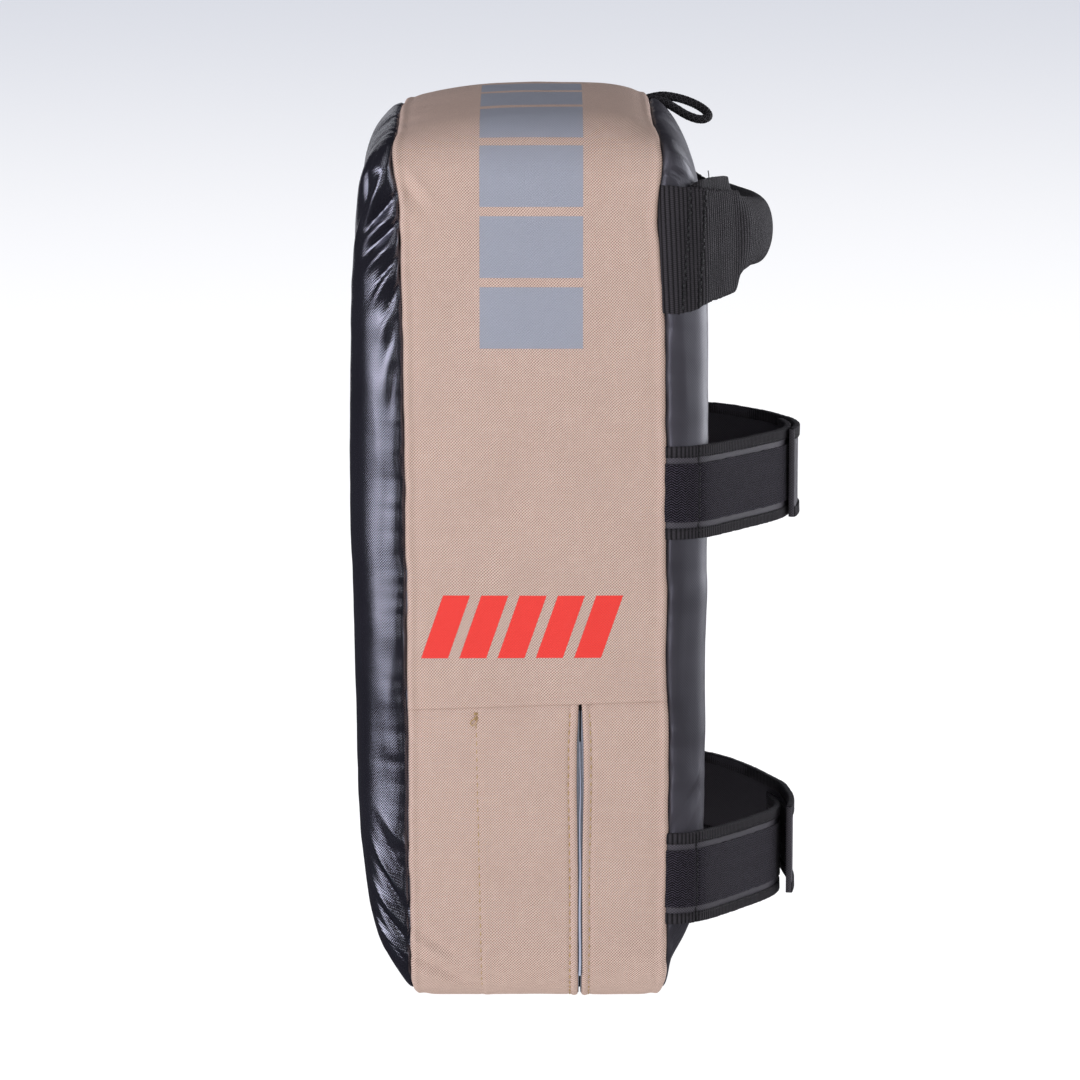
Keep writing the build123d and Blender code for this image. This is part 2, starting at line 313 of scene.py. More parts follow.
# ------------------------------------------------------------------ material tools
class Tree:
    """A short way to write a material's node tree."""

    def __init__(self, name):
        self.mat = bpy.data.materials.new(name)
        self.mat.use_nodes = True
        self.nt = self.mat.node_tree
        self.nt.nodes.clear()
        self.out = self.nt.nodes.new("ShaderNodeOutputMaterial")
        self.bsdf = self.nt.nodes.new("ShaderNodeBsdfPrincipled")
        self.nt.links.new(self.bsdf.outputs[0], self.out.inputs[0])
        self._uv = None

    def put(self, socket, value):
        if hasattr(value, "is_output"):
            self.nt.links.new(value, socket)
        else:
            socket.default_value = value

    def node(self, kind, inputs=(), out=0, **attrs):
        n = self.nt.nodes.new(kind)
        for k, v in attrs.items():
            setattr(n, k, v)
        for k, v in dict(inputs).items():
            self.put(n.inputs[k], v)
        return n.outputs[out]

    def m(self, op, a, b=0.0, c=0.0, clamp=False):
        n = self.nt.nodes.new("ShaderNodeMath")
        n.operation, n.use_clamp = op, clamp
        for i, v in enumerate((a, b, c)):
            self.put(n.inputs[i], v)
        return n.outputs[0]

    def uv(self):
        """u and v in millimetres."""
        if self._uv is None:
            n = self.node("ShaderNodeUVMap", uv_map="UVMap")
            s = self.nt.nodes.new("ShaderNodeSeparateXYZ")
            self.nt.links.new(n, s.inputs[0])
            self._uv = (self.m("MULTIPLY", s.outputs[0], 1000.0), self.m("MULTIPLY", s.outputs[1], 1000.0))
        return self._uv

    def vec(self, x, y, z=0.0):
        return self.node("ShaderNodeCombineXYZ", {0: x, 1: y, 2: z})

    def noise(self, scale, detail=2.0, rough=0.5, vector=None):
        """Noise over the uv, scale in features per millimetre."""
        if vector is None:
            vector = self.vec(*self.uv())
        return self.node("ShaderNodeTexNoise", {"Vector": vector, "Scale": scale, "Detail": detail, "Roughness": rough})

    def object_noise(self, scale, detail=2.0, rough=0.5):
        v = self.node("ShaderNodeTexCoord", out=3)
        return self.node("ShaderNodeTexNoise", {"Vector": v, "Scale": scale, "Detail": detail, "Roughness": rough})

    def attr(self, name):
        return self.node("ShaderNodeAttribute", out=2, attribute_name=name)

    def mix(self, fac, a, b):
        n = self.nt.nodes.new("ShaderNodeMix")
        n.data_type = "RGBA"
        self.put(n.inputs[0], fac)
        for i, v in ((6, a), (7, b)):
            self.put(n.inputs[i], (*v, 1.0) if isinstance(v, tuple) and len(v) == 3 else v)
        return n.outputs[2]

    def ramp(self, x, a, b, lo=0.0, hi=1.0):
        n = self.nt.nodes.new("ShaderNodeMapRange")
        n.interpolation_type = "SMOOTHSTEP"
        for i, v in enumerate((x, a, b, lo, hi)):
            self.put(n.inputs[i], v)
        return n.outputs[0]

    def bump(self, height, strength, distance, normal=None):
        inputs = {"Height": height, "Strength": strength, "Distance": distance}
        n = self.nt.nodes.new("ShaderNodeBump")
        for k, v in inputs.items():
            self.put(n.inputs[k], v)
        if normal is not None:
            self.put(n.inputs["Normal"], normal)
        return n.outputs[0]

    def finish(self, color=None, rough=None, normal=None, **shader):
        if color is not None:
            self.put(self.bsdf.inputs["Base Color"], (*color, 1.0) if isinstance(color, tuple) and len(color) == 3 else color)
        if rough is not None:
            self.put(self.bsdf.inputs["Roughness"], rough)
        if normal is not None:
            self.put(self.bsdf.inputs["Normal"], normal)
        for k, v in shader.items():
            self.put(self.bsdf.inputs[k.replace("_", " ")], v)
        return self.mat


def srgb(r, g, b):
    def one(c):
        c = c / 255.0
        return c / 12.92 if c <= 0.04045 else ((c + 0.055) / 1.055) ** 2.4
    return (one(r), one(g), one(b))


# ------------------------------------------------------------------ camera first
D_NEAR, TILT = 2640.0, math.atan2(533.0, 3960.0)
aim = Vector((160.0, 2.7, 317.0))
eye = aim + Vector((math.cos(TILT), 0, math.sin(TILT))) * D_NEAR
cam_data = bpy.data.cameras.new("camera")
cam_data.sensor_width = 36.0
cam_data.lens = 3988.0 / 1080.0 * 36.0
cam_data.clip_start, cam_data.clip_end = 0.05, 60.0
camera = bpy.data.objects.new("camera", cam_data)
camera.location = eye * MM
camera.rotation_euler = (aim - eye).to_track_quat("-Z", "Y").to_euler()
bpy.context.scene.collection.objects.link(camera)
bpy.context.scene.camera = camera


# ------------------------------------------------------------------ the pad's outline
def outline(step=0.5):
    """The front outline from the near side's cross seam up and round, as points and their lengths along it."""
    pts = []

    def line(a, b):
        n = max(2, int(math.hypot(b[0] - a[0], b[1] - a[1]) / step))
        for i in range(n):
            t = i / n
            pts.append((a[0] + (b[0] - a[0]) * t, a[1] + (b[1] - a[1]) * t))

    def bow(cx, cy, r, a0, a1):
        n = max(2, int(abs(math.radians(a1 - a0)) * r / step))
        for i in range(n):
            a = math.radians(a0 + (a1 - a0) * i / n)
            pts.append((cx + r * math.cos(a), cy + r * math.sin(a)))

    half = math.degrees(math.asin(126.65 / 494.0))
    line((160, POCKET_Z), (160, 555))
    bow(115, 555, 45, 0, 75)
    bow(0, TOP_Z - 494, 494, 90 - half, 90 + half)
    bow(-115, 555, 45, 105, 180)
    line((-160, 555), (-160, 40))
    bow(-120, 40, 40, 180, 270)
    line((-120, 0), (120, 0))
    bow(120, 40, 40, -90, 0)
    line((160, 40), (160, POCKET_Z))
    pts.append(pts[0])
    p = np.array(pts)
    s = np.concatenate([[0], np.cumsum(np.linalg.norm(np.diff(p, axis=0), axis=1))])
    return p, s


OUT_P, OUT_S = outline()
PERIM = OUT_S[-1]


def on_outline(s):
    """Point and outward normal of the outline at lengths s, in the XZ plane."""
    s = np.mod(s, PERIM)
    x, z = np.interp(s, OUT_S, OUT_P[:, 0]), np.interp(s, OUT_S, OUT_P[:, 1])
    e = 2.5
    xa, za = np.interp(np.mod(s - e, PERIM), OUT_S, OUT_P[:, 0]), np.interp(np.mod(s - e, PERIM), OUT_S, OUT_P[:, 1])
    xb, zb = np.interp(np.mod(s + e, PERIM), OUT_S, OUT_P[:, 0]), np.interp(np.mod(s + e, PERIM), OUT_S, OUT_P[:, 1])
    tx, tz = xb - xa, zb - za
    size = np.hypot(tx, tz)
    return x, z, tz / size, -tx / size


S_CROWN = float(np.interp(0, [0], [0])) + float(OUT_S[int(np.argmax(OUT_P[:, 1]))])
S_FAR = float(OUT_S[int(np.argmin(np.abs(OUT_P[:, 1] - POCKET_Z) + (OUT_P[:, 0] > 0) * 1e3))])

# Where the two seams run: Y at heights on the near side, and over the top.
SEAM_F_TABLE = [(0, -81), (8, -82), (16, -83), (60, -83), (200, -84), (300, -86), (400, -87), (470, -88),
                (500, -89), (540, -89), (550, -91), (560, -93.4), (575, -94.4), (588, -93.0), (600, -91)]
SEAM_B_TABLE = [(0, 84), (8, 86.6), (18, 88.2), (75, 88.2), (107, 88.6), (190, 88.6), (225, 87), (310, 86.8), (440, 85.3),
                (473, 84.6), (490, 83.3), (507, 82), (523, 80.2), (540, 80.8), (556, 82.4), (568, 83.3), (580, 82.2), (600, 81)]


def seam_y(s, x, z, nz, front):
    table = SEAM_F_TABLE if front else SEAM_B_TABLE
    side = soft_table(z, table, 5.0) - (1.7 * smooth(z, 330, 190) if front else 0.0)
    crown = -91.5 if front else 77.5
    w = smooth(np.abs(x), 152, 118) * (z > 300)
    y = side * (1 - w) + crown * w
    def wave(q):
        return 0.35 * Noise(5 if front else 6)(q / 11.0) + 0.5 * Noise(7 if front else 8)(q / 37.0)

    q = np.mod(s, PERIM)
    k = smooth(q, 0, 40)
    return y + wave(q) * k + wave(q + PERIM) * (1 - k)


def band_lift(y, s, x, z, nx, nz):
    """How far the side band stands out of the outline, along its normal."""
    front = np.clip((12.0 - y) / 104.0, 0, 1) ** 3 * 12.5
    back = np.clip((y - 26.0) / 56.0, 0, 1) ** 3.1 * 12.0
    top = np.maximum(nz, 0) ** 1.5
    lift = -(front + back) * top * smooth(z, 560, 600)
    lift = lift + 1.3 * (1 - (y / 86.0) ** 2) * np.abs(nx) ** 2
    under = np.maximum(-nz, 0) ** 1.2
    curl = np.clip((np.abs(y - 1.0) - 68.0) / 18.0, 0, 1.2) ** 2 * 2.6
    return lift + curl * under * -1.0


def fold(s, a, s0, a0, length, width, angle, depth):
    """One soft fold at s0 along the seam and a0 away from it."""
    c, d = math.cos(math.radians(angle)), math.sin(math.radians(angle))
    ds = np.mod(s - s0 + PERIM / 2, PERIM) - PERIM / 2
    u, v = ds * c + (a - a0) * d, -ds * d + (a - a0) * c
    return depth * np.exp(-((u / length) ** 2)) * np.exp(-np.abs(v / width) ** 1.6)


# ------------------------------------------------------------------ materials
def vinyl(name, base, rough, coat, emboss, spec, index=1.5):
    t = Tree(name)
    u, v = t.uv()
    p = 1.85
    a = t.m("MULTIPLY", t.m("ADD", u, v), math.pi / p)
    b = t.m("MULTIPLY", t.m("SUBTRACT", u, v), math.pi / p)
    grid = t.m("MULTIPLY", t.m("SINE", a), t.m("SINE", b))
    cell = t.m("ABSOLUTE", grid)
    big = t.noise(0.012, 3.0)
    fine = t.noise(0.9, 4.0, 0.6)
    height = t.m("ADD", t.m("MULTIPLY", cell, 1.0), t.m("MULTIPLY", fine, 0.25))
    tint = t.ramp(big, 0.3, 0.7)
    dark = tuple(c * 0.8 for c in base)
    light = tuple(min(1.0, c * 1.25) for c in base)
    col = t.mix(tint, dark, light)
    r = t.m("ADD", t.m("MULTIPLY", cell, -0.05), t.m("ADD", t.m("MULTIPLY", big, 0.10), rough))
    n = t.bump(height, emboss, 0.0004)
    return t.finish(col, r, n, Specular_IOR_Level=spec, Specular_Tint=(0.84, 0.85, 1.0, 1.0), IOR=index, Coat_Weight=coat, Coat_Roughness=0.28)


def woven(name, base, dark, light, cell=1.9, prints=()):
    """Coated oxford weave: ticks on one diagonal carry a painted highlight, the small pits between them carry painted
    shade, and plain printed shapes lie over it.
    """
    t = Tree(name)
    u, v = t.uv()
    wob = t.m("MULTIPLY", t.m("SUBTRACT", t.noise(0.035, 2.0), 0.5), 3.2)
    wob2 = t.m("MULTIPLY", t.m("SUBTRACT", t.noise(0.05, 2.0, vector=t.vec(v, u, 7.0)), 0.5), 2.4)
    uu, vv = t.m("ADD", u, wob), t.m("ADD", v, wob2)
    fa = 2 * math.pi / cell
    tick = t.m("COSINE", t.m("MULTIPLY", t.m("SUBTRACT", uu, vv), fa))
    brk = t.m("COSINE", t.m("MULTIPLY", t.m("ADD", uu, vv), fa))
    cloth = t.m("ADD", t.m("MULTIPLY", tick, 0.58), t.m("MULTIPLY", brk, 0.42))
    fuzz = t.noise(1.6, 4.0, 0.65)
    big = t.noise(0.02, 3.0)
    mid = t.noise(0.16, 2.0)
    # painted light: lit brightens the raised ticks, and pit darkens the sunken pits towards the dark colour as painted
    # shade
    lit = t.ramp(t.m("ADD", cloth, t.m("MULTIPLY", t.m("SUBTRACT", fuzz, 0.5), 1.1)), -0.35, 1.0)
    pit = t.ramp(t.m("ADD", cloth, t.m("MULTIPLY", t.m("SUBTRACT", fuzz, 0.5), 0.6)), -0.95, -0.1)
    col = t.mix(lit, base, light)
    col = t.mix(t.m("MULTIPLY", t.m("SUBTRACT", 1.0, pit), 0.75), col, dark)
    col = t.mix(t.m("MULTIPLY", t.ramp(big, 0.35, 0.75), 0.16), col, tuple(c * 0.84 for c in base))
    col = t.mix(t.m("MULTIPLY", t.ramp(mid, 0.4, 0.8), 0.10), col, light)
    rough = 0.72
    for colour, shapes in prints:
        mask = None
        for u0, u1, v0, v1, lean in shapes:
            # v runs across the band; lean shears the block's ends
            vs = t.m("ADD", v, t.m("MULTIPLY", t.m("SUBTRACT", u, (u0 + u1) / 2), -lean)) if lean else v
            du = t.m("SUBTRACT", (u1 - u0) / 2, t.m("ABSOLUTE", t.m("SUBTRACT", u, (u0 + u1) / 2)))
            dv = t.m("SUBTRACT", (v1 - v0) / 2, t.m("ABSOLUTE", t.m("SUBTRACT", vs, (v0 + v1) / 2)))
            inside = t.m("MINIMUM", du, dv)
            mask = inside if mask is None else t.m("MAXIMUM", mask, inside)
        ragged = t.m("ADD", mask, t.m("MULTIPLY", cloth, 0.22))
        share = t.m("MULTIPLY", t.ramp(ragged, -0.15, 0.25), t.m("ADD", 0.80, t.m("MULTIPLY", pit, 0.17)))
        # the ink is painted lighter on the lit ticks: painted highlight
        ink = t.mix(t.m("MULTIPLY", lit, 0.35), colour, tuple(min(1.0, c * 1.22) for c in colour))
        col = t.mix(share, col, ink)
        rough = t.m("SUBTRACT", rough, t.m("MULTIPLY", share, 0.16))
    n = t.bump(t.m("ADD", cloth, t.m("MULTIPLY", fuzz, 0.5)), 0.45, 0.0003)
    return t.finish(col, rough, n, Specular_IOR_Level=0.3)


def ribbed(name, base, pitch, along="u", rough=0.75, bead=1.15, strength=0.7, spec=0.3):
    """Webbing with ribs across or along it and small beads on the ribs; its colour carries painted light on the ribs
    and painted shade between them.
    """
    t = Tree(name)
    u, v = t.uv()
    p, q = (u, v) if along == "u" else (v, u)
    rib = t.m("ABSOLUTE", t.m("SINE", t.m("MULTIPLY", p, math.pi / pitch)))
    row = t.m("FLOOR", t.m("DIVIDE", p, pitch))
    shift = t.m("MULTIPLY", t.m("MODULO", row, 2.0), 0.5)
    beads = t.m("ABSOLUTE", t.m("SINE", t.m("MULTIPLY", t.m("ADD", t.m("DIVIDE", q, bead), shift), math.pi)))
    height = t.m("MULTIPLY", t.m("POWER", rib, 0.6), t.m("ADD", 0.55, t.m("MULTIPLY", beads, 0.45)))
    fuzz = t.noise(2.0, 4.0, 0.65)
    big = t.noise(0.05, 2.0)
    # lit paints the ribs and beads lighter and the grooves darker: painted highlight and painted shade
    lit = t.ramp(t.m("ADD", height, t.m("MULTIPLY", t.m("SUBTRACT", fuzz, 0.5), 0.7)), 0.15, 1.15)
    col = t.mix(lit, tuple(c * 0.22 for c in base), tuple(min(1, c * 2.9) for c in base))
    col = t.mix(t.m("MULTIPLY", big, 0.3), col, tuple(c * 0.7 for c in base))
    n = t.bump(height, strength, 0.0006)
    return t.finish(col, rough, n, Specular_IOR_Level=spec)


def pile(name, base):
    """The looped face of hook-and-loop tape, in chevrons, painted lighter on the loop tops and darker between them as
    painted light and shade.
    """
    t = Tree(name)
    u, v = t.uv()
    tri = t.m("PINGPONG", u, 2.4)
    wale = t.m("SINE", t.m("MULTIPLY", t.m("ADD", v, t.m("MULTIPLY", tri, 0.9)), math.pi * 2 / 1.7))
    cut = t.m("SINE", t.m("MULTIPLY", t.m("SUBTRACT", v, t.m("MULTIPLY", tri, 0.9)), math.pi * 2 / 1.5))
    fuzz = t.noise(1.3, 5.0, 0.75)
    clump = t.noise(0.35, 3.0, 0.6)
    loops = t.m("ADD", t.m("MULTIPLY", wale, 0.30), t.m("ADD", t.m("MULTIPLY", cut, 0.14), t.m("ADD", fuzz, t.m("MULTIPLY", clump, 0.3))))
    # painted highlight on the high loops and painted shade in the low ones, from the same height as the bump
    col = t.mix(t.ramp(loops, 0.50, 1.15), tuple(c * 0.35 for c in base), tuple(min(1, c * 8.0) for c in base))
    n = t.bump(loops, 1.0, 0.0007)
    return t.finish(col, 0.92, n, Sheen_Weight=0.05, Sheen_Roughness=0.4, Specular_IOR_Level=0.08)


def braided(name, base, strands=4, pitch=1.9, girth=17.6):
    """Crossing strands of a round braid; v runs once round the cord. The strands are painted lighter on their crowns
    and darker where they dip, as painted highlight and shade.
    """
    t = Tree(name)
    u, v = t.uv()
    th = t.m("MULTIPLY", v, 2 * math.pi / girth * strands)
    ku = t.m("MULTIPLY", u, math.pi / pitch)
    h1 = t.m("ABSOLUTE", t.m("COSINE", t.m("ADD", th, ku)))
    h2 = t.m("ABSOLUTE", t.m("COSINE", t.m("SUBTRACT", th, ku)))
    over = t.ramp(t.m("MULTIPLY", t.m("SINE", th), t.m("SINE", ku)), -0.1, 0.1)
    h = t.m("ADD", t.m("MULTIPLY", h1, over), t.m("MULTIPLY", h2, t.m("SUBTRACT", 1.0, over)))
    fuzz = t.noise(3.0, 3.0, 0.6)
    # lit paints the strand crowns lighter and the dips between strands darker: painted highlight and painted shade
    lit = t.ramp(t.m("ADD", h, t.m("MULTIPLY", t.m("SUBTRACT", fuzz, 0.5), 0.5)), 0.25, 1.05)
    col = t.mix(lit, tuple(c * 0.25 for c in base), tuple(min(1, c * 3.0) for c in base))
    n = t.bump(t.m("ADD", h, t.m("MULTIPLY", fuzz, 0.3)), 0.8, 0.0005)
    return t.finish(col, 0.65, n, Specular_IOR_Level=0.25)


def plain_cloth(name, base, cell=0.8, rough=0.8, strength=0.4):
    t = Tree(name)
    u, v = t.uv()
    w = t.m("MULTIPLY", t.m("SINE", t.m("MULTIPLY", u, math.pi / cell)), t.m("SINE", t.m("MULTIPLY", v, math.pi / cell)))
    fuzz = t.noise(1.5, 4.0, 0.6)
    # lighter where the weave stands high and darker where it sinks: painted light and shade, with random tone from the
    # fuzz
    col = t.mix(t.ramp(t.m("ADD", w, fuzz), -0.4, 1.6), tuple(c * 0.6 for c in base), tuple(min(1, c * 1.4) for c in base))
    n = t.bump(t.m("ADD", w, fuzz), strength, 0.0003)
    return t.finish(col, rough, n, Specular_IOR_Level=0.25)


def simple(name, base, rough, noise_scale=900.0, strength=0.2, distance=0.0002, **shader):
    """A material by object position, for small pieces and carried-over CAD pieces."""
    t = Tree(name)
    f = t.object_noise(noise_scale, 4.0, 0.6)
    g = t.object_noise(noise_scale / 12.0, 2.0)
    col = t.mix(t.ramp(f, 0.3, 0.7), tuple(c * 0.75 for c in base), tuple(min(1, c * 1.25) for c in base))
    r = t.m("ADD", t.m("MULTIPLY", g, 0.16), rough - 0.08)
    n = t.bump(f, strength, distance)
    return t.finish(col, r, n, **shader)


GREY_INK, RED_INK = srgb(148, 153, 166), srgb(236, 48, 40)
# Plain blocks, as (u from, u to, across from, across to, lean): no lettering.
grey_blocks = []
for k in range(6):
    a = 237.0 + k * 46.5
    grey_blocks.append((a, a + 40.5, -37.0, 31.0, 0.0))
red_blocks = [(31.0, 73.0, -69.0 + 25.4 * k, -51.0 + 25.4 * k, 0.35) for k in range(5)]

M_STRIKE = vinyl("strike_vinyl", srgb(18, 17, 22), 0.20, 0.0, 0.26, 1.0, 1.75)
M_BACK = vinyl("back_vinyl", srgb(54, 52, 57), 0.36, 0.10, 0.28, 0.6)
# the second colour is the painted shade of the weave's pits, the third its painted highlight on the ticks
M_BAND = woven("side_weave", srgb(183, 155, 141), srgb(80, 56, 48), srgb(230, 205, 191),
               prints=((GREY_INK, grey_blocks), (RED_INK, red_blocks)))
# a lighter copy of the weave for the rolled edge at the seams: painted light on the roll
M_BAND_EDGE_LIT = woven("side_weave_edge", srgb(214, 187, 170), srgb(165, 136, 120), srgb(240, 218, 204))
M_WEB = ribbed("strap_webbing", srgb(34, 33, 36), 2.4, "u", strength=0.4)
M_BIND = ribbed("strap_binding", srgb(37, 35, 38), 2.4, "u", bead=0.9, spec=0.2)
M_GRIP = ribbed("grip_webbing", srgb(38, 36, 39), 2.9, "u", bead=1.35, strength=1.0, spec=0.2)
M_PILE = pile("fastener_tape", srgb(25, 23, 28))
M_CLOTH = plain_cloth("strap_face", srgb(74, 71, 77), 0.9, 0.62)
M_THREAD_KHAKI = simple("thread_khaki", srgb(176, 146, 92), 0.6, 2500.0)
M_THREAD_BLACK = simple("thread_black", srgb(26, 26, 28), 0.55, 2500.0)
M_TAPE = plain_cloth("zip_tape", srgb(176, 184, 202), 0.7)
M_TAPE_CAD = simple("zip_tape_cad", srgb(176, 184, 202), 0.75, 1400.0, 0.5)
M_COIL = simple("zip_coil", srgb(150, 156, 170), 0.35, 1500.0)
M_METAL = simple("zip_metal", srgb(34, 34, 36), 0.32, 700.0, 0.1, Metallic=0.6)
M_CORD = braided("cord", srgb(30, 29, 32))
M_FOAM = simple("foam", srgb(205, 200, 170), 0.9, 500.0, 0.6, 0.0006)
M_FOAM_FIRM = simple("foam_firm", srgb(92, 92, 98), 0.85, 500.0, 0.6, 0.0006)
M_LINING = simple("lining", srgb(40, 40, 44), 0.8, 900.0)


# ------------------------------------------------------------------ side band
def band_points(s, y, rim=True, front=True, back=True):
    """Grid of points of the side band at lengths s (rows) and band shares y in 0..1 (cols)."""
    x, z, nx, nz = on_outline(s)
    yf, yb = seam_y(s, x, z, nz, True), seam_y(s, x, z, nz, False)
    S, T = np.meshgrid(s, y, indexing="ij")
    X, Z, NX, NZ = (np.repeat(q[:, None], len(y), 1) for q in (x, z, nx, nz))
    YF, YB = yf[:, None], yb[:, None]
    Y = YF + (YB - YF) * T
    lift = band_lift(Y, S, X, Z, NX, NZ)
    df, db = (Y - YF), (YB - Y)
    for d, seed in ((df, 21), (db, 22)):
        r = np.clip((3.4 - d) / 3.4, 0, 1)
        lift = lift - 3.0 * (1 - np.sqrt(np.maximum(0, 1 - r * r)))
        bead = np.exp(-(((d - 3.0) / 1.9) ** 2))
        lift = lift + 0.55 * bead - 0.35 * np.exp(-(((d - 7.5) / 2.6) ** 2))
        pucker = Noise(seed)(S / 6.5) * 0.45 + Noise(seed + 3)(S / 15.0) * 0.5
        lift = lift + pucker * np.exp(-d / 9.0) * smooth(d, 0.0, 2.0)
    slow = 0.55 * fractal(31, S / 55.0, Y / 60.0, 3) + 0.22 * fractal(33, S / 17.0, Y / 19.0, 2)
    lift = lift + slow * smooth(df, 0, 12) * smooth(db, 0, 12)
    lift = lift + band_folds(S, Y, X, Z)
    X2, Z2 = X + NX * lift, Z + NZ * lift
    # the base stays flat for the shield to stand on
    low = 0.02
    Z2 = np.where(Z2 < low, low + (Z2 - low) * 0.0, Z2)
    return np.stack([X2, Y, Z2], -1), S, Y


def band_folds(S, Y, X, Z):
    """The folds that show in the side band: a diagonal tension wrinkle high at the front seam, slack folds low at the front."""
    near = (X > 0)
    h = 0.0
    s_near = lambda zz: (zz - POCKET_Z) % PERIM
    h = h + fold(S, Y, s_near(543), -80.0, 13.0, 3.0, -38.0, -1.5) * near
    h = h + fold(S, Y, s_near(552), -76.0, 15.0, 3.4, -38.0, 1.2) * near
    h = h + fold(S, Y, s_near(531), -82.0, 9.0, 2.6, -30.0, 0.8) * near
    h = h + fold(S, Y, s_near(455), -52.0, 60.0, 16.0, 12.0, -0.8) * near
    h = h + fold(S, Y, s_near(300), 20.0, 90.0, 22.0, -8.0, 0.7) * near
    for zz, yy, ln, w, an, dp in ((46, -70, 19, 3.0, -58, -1.7), (39, -70, 18, 3.0, -58, 1.5), (27, -68, 20, 2.8, -62, -2.0), (19, -68, 18, 3.0, -66, 1.7),
                                  (60, -74, 12, 3.0, 70, 0.9), (30, -30, 26, 5.0, 80, 0.5), (20, 60, 20, 4.0, 80, -0.6),
                                  (48, 10, 30, 7.0, 88, -0.5)):
        h = h + fold(S, Y, s_near(zz), yy, ln, w, an, dp) * near
        h = h + fold(S, Y, PERIM / 2 * 0 + (S_FAR + (POCKET_Z - zz)), yy, ln, w, -an, dp) * (~near)
    return h


def cross_seam(S, Y):
    """Height of the cross seam's slight slope: higher towards the back."""
    return 3.0 * (Y / 86.0)


def band_piece(name, s, t, shape=None, material=None, thick=1.2, uv_shift=0.0):
    P, S, Y = band_points(s, t)
    if shape is not None:
        P, S, Y = shape(P, S, Y)
    N = grid_normals(P)
    x, z, nx, nz = on_outline(s)
    out = np.stack([nx, np.zeros_like(nx), nz], -1)[:, None, :]
    if np.sum(N * out) < 0:
        N = -N
    rows, cols = P.shape[:2]
    inner = P - N * thick
    # one closed skin: outer grid, inner grid and the four edges between them
    verts = np.concatenate([P.reshape(-1, 3), inner.reshape(-1, 3)])
    f = grid_faces(rows, cols)
    k = rows * cols
    fi = f[:, ::-1] + k
    idx = np.arange(k).reshape(rows, cols)
    edges = []
    for line, flip in ((idx[0, :], False), (idx[-1, :], True), (idx[:, 0], True), (idx[:, -1], False)):
        a, b = line[:-1], line[1:]
        q = np.stack([a, a + k, b + k, b], -1)
        edges.append(q[:, ::-1] if flip else q)
    # make the outer faces point outwards
    n0 = np.cross(P[1, 0] - P[0, 0], P[0, 1] - P[0, 0])
    faces = np.concatenate([f, fi] + edges)
    uv = np.stack([S + uv_shift, Y], -1).reshape(-1, 2)
    ob = make(name, verts, faces, np.concatenate([uv, uv]), material)
    fix_normals(ob)
    return ob


def fix_normals(ob):
    import bmesh
    bm = bmesh.new()
    bm.from_mesh(ob.data)
    bmesh.ops.recalc_face_normals(bm, faces=bm.faces)
    bm.to_mesh(ob.data)
    bm.free()


DENSE = 1.0
s_up = np.linspace(-1.2, S_FAR + 1.2, int((S_FAR) / (1.55 * DENSE)))
t_all = np.concatenate([np.linspace(0, 0.045, 9)[:-1], np.linspace(0.045, 0.955, 86), np.linspace(0.955, 1, 9)[1:]])


def upper_shape(P, S, Y):
    """The upper section's folded hem: its low edges follow the sloping cross seam."""
    near = (S < 200)
    slope = cross_seam(S, Y)
    w_near = smooth(S, 40, 0)
    w_far = smooth(S, S_FAR - 40, S_FAR)
    P = P.copy()
    P[..., 2] += slope * (w_near + w_far)
    lip = np.exp(-((S - 1.0) / 3.0) ** 2) + np.exp(-((S - S_FAR + 1.0) / 3.0) ** 2)
    P[..., 0] += np.sign(P[..., 0]) * 0.45 * lip
    return P, S + slope * 0, Y


gusset_upper = band_piece("gusset_upper_skin", s_up, t_all, upper_shape, M_BAND)
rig.ride(gusset_upper, "shield"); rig.replaces(gusset_upper, "gusset_upper"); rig.slot(gusset_upper, "side_weave")

s_low = np.linspace(S_FAR - 0.4, PERIM + 0.4, int((PERIM - S_FAR) / (1.5 * DENSE)))


def slit_edges(s):
    """Half width of the zip slit along the lower section, front and back."""
    x, z, nx, nz = on_outline(s)
    near = x > 0
    zz = np.where(near, z, 100.0)
    w = lerp_table(zz, [(0, 1.0), (30, 1.1), (90, 1.2), (125, 1.8), (150, 2.3), (180, 2.1), (200, 1.2), (207, 0.7)])
    far = smooth(x, -100, -150) * smooth(z, 20, 44) * smooth(z, 206, 198)
    return w * (1 - far) + 4.9 * far


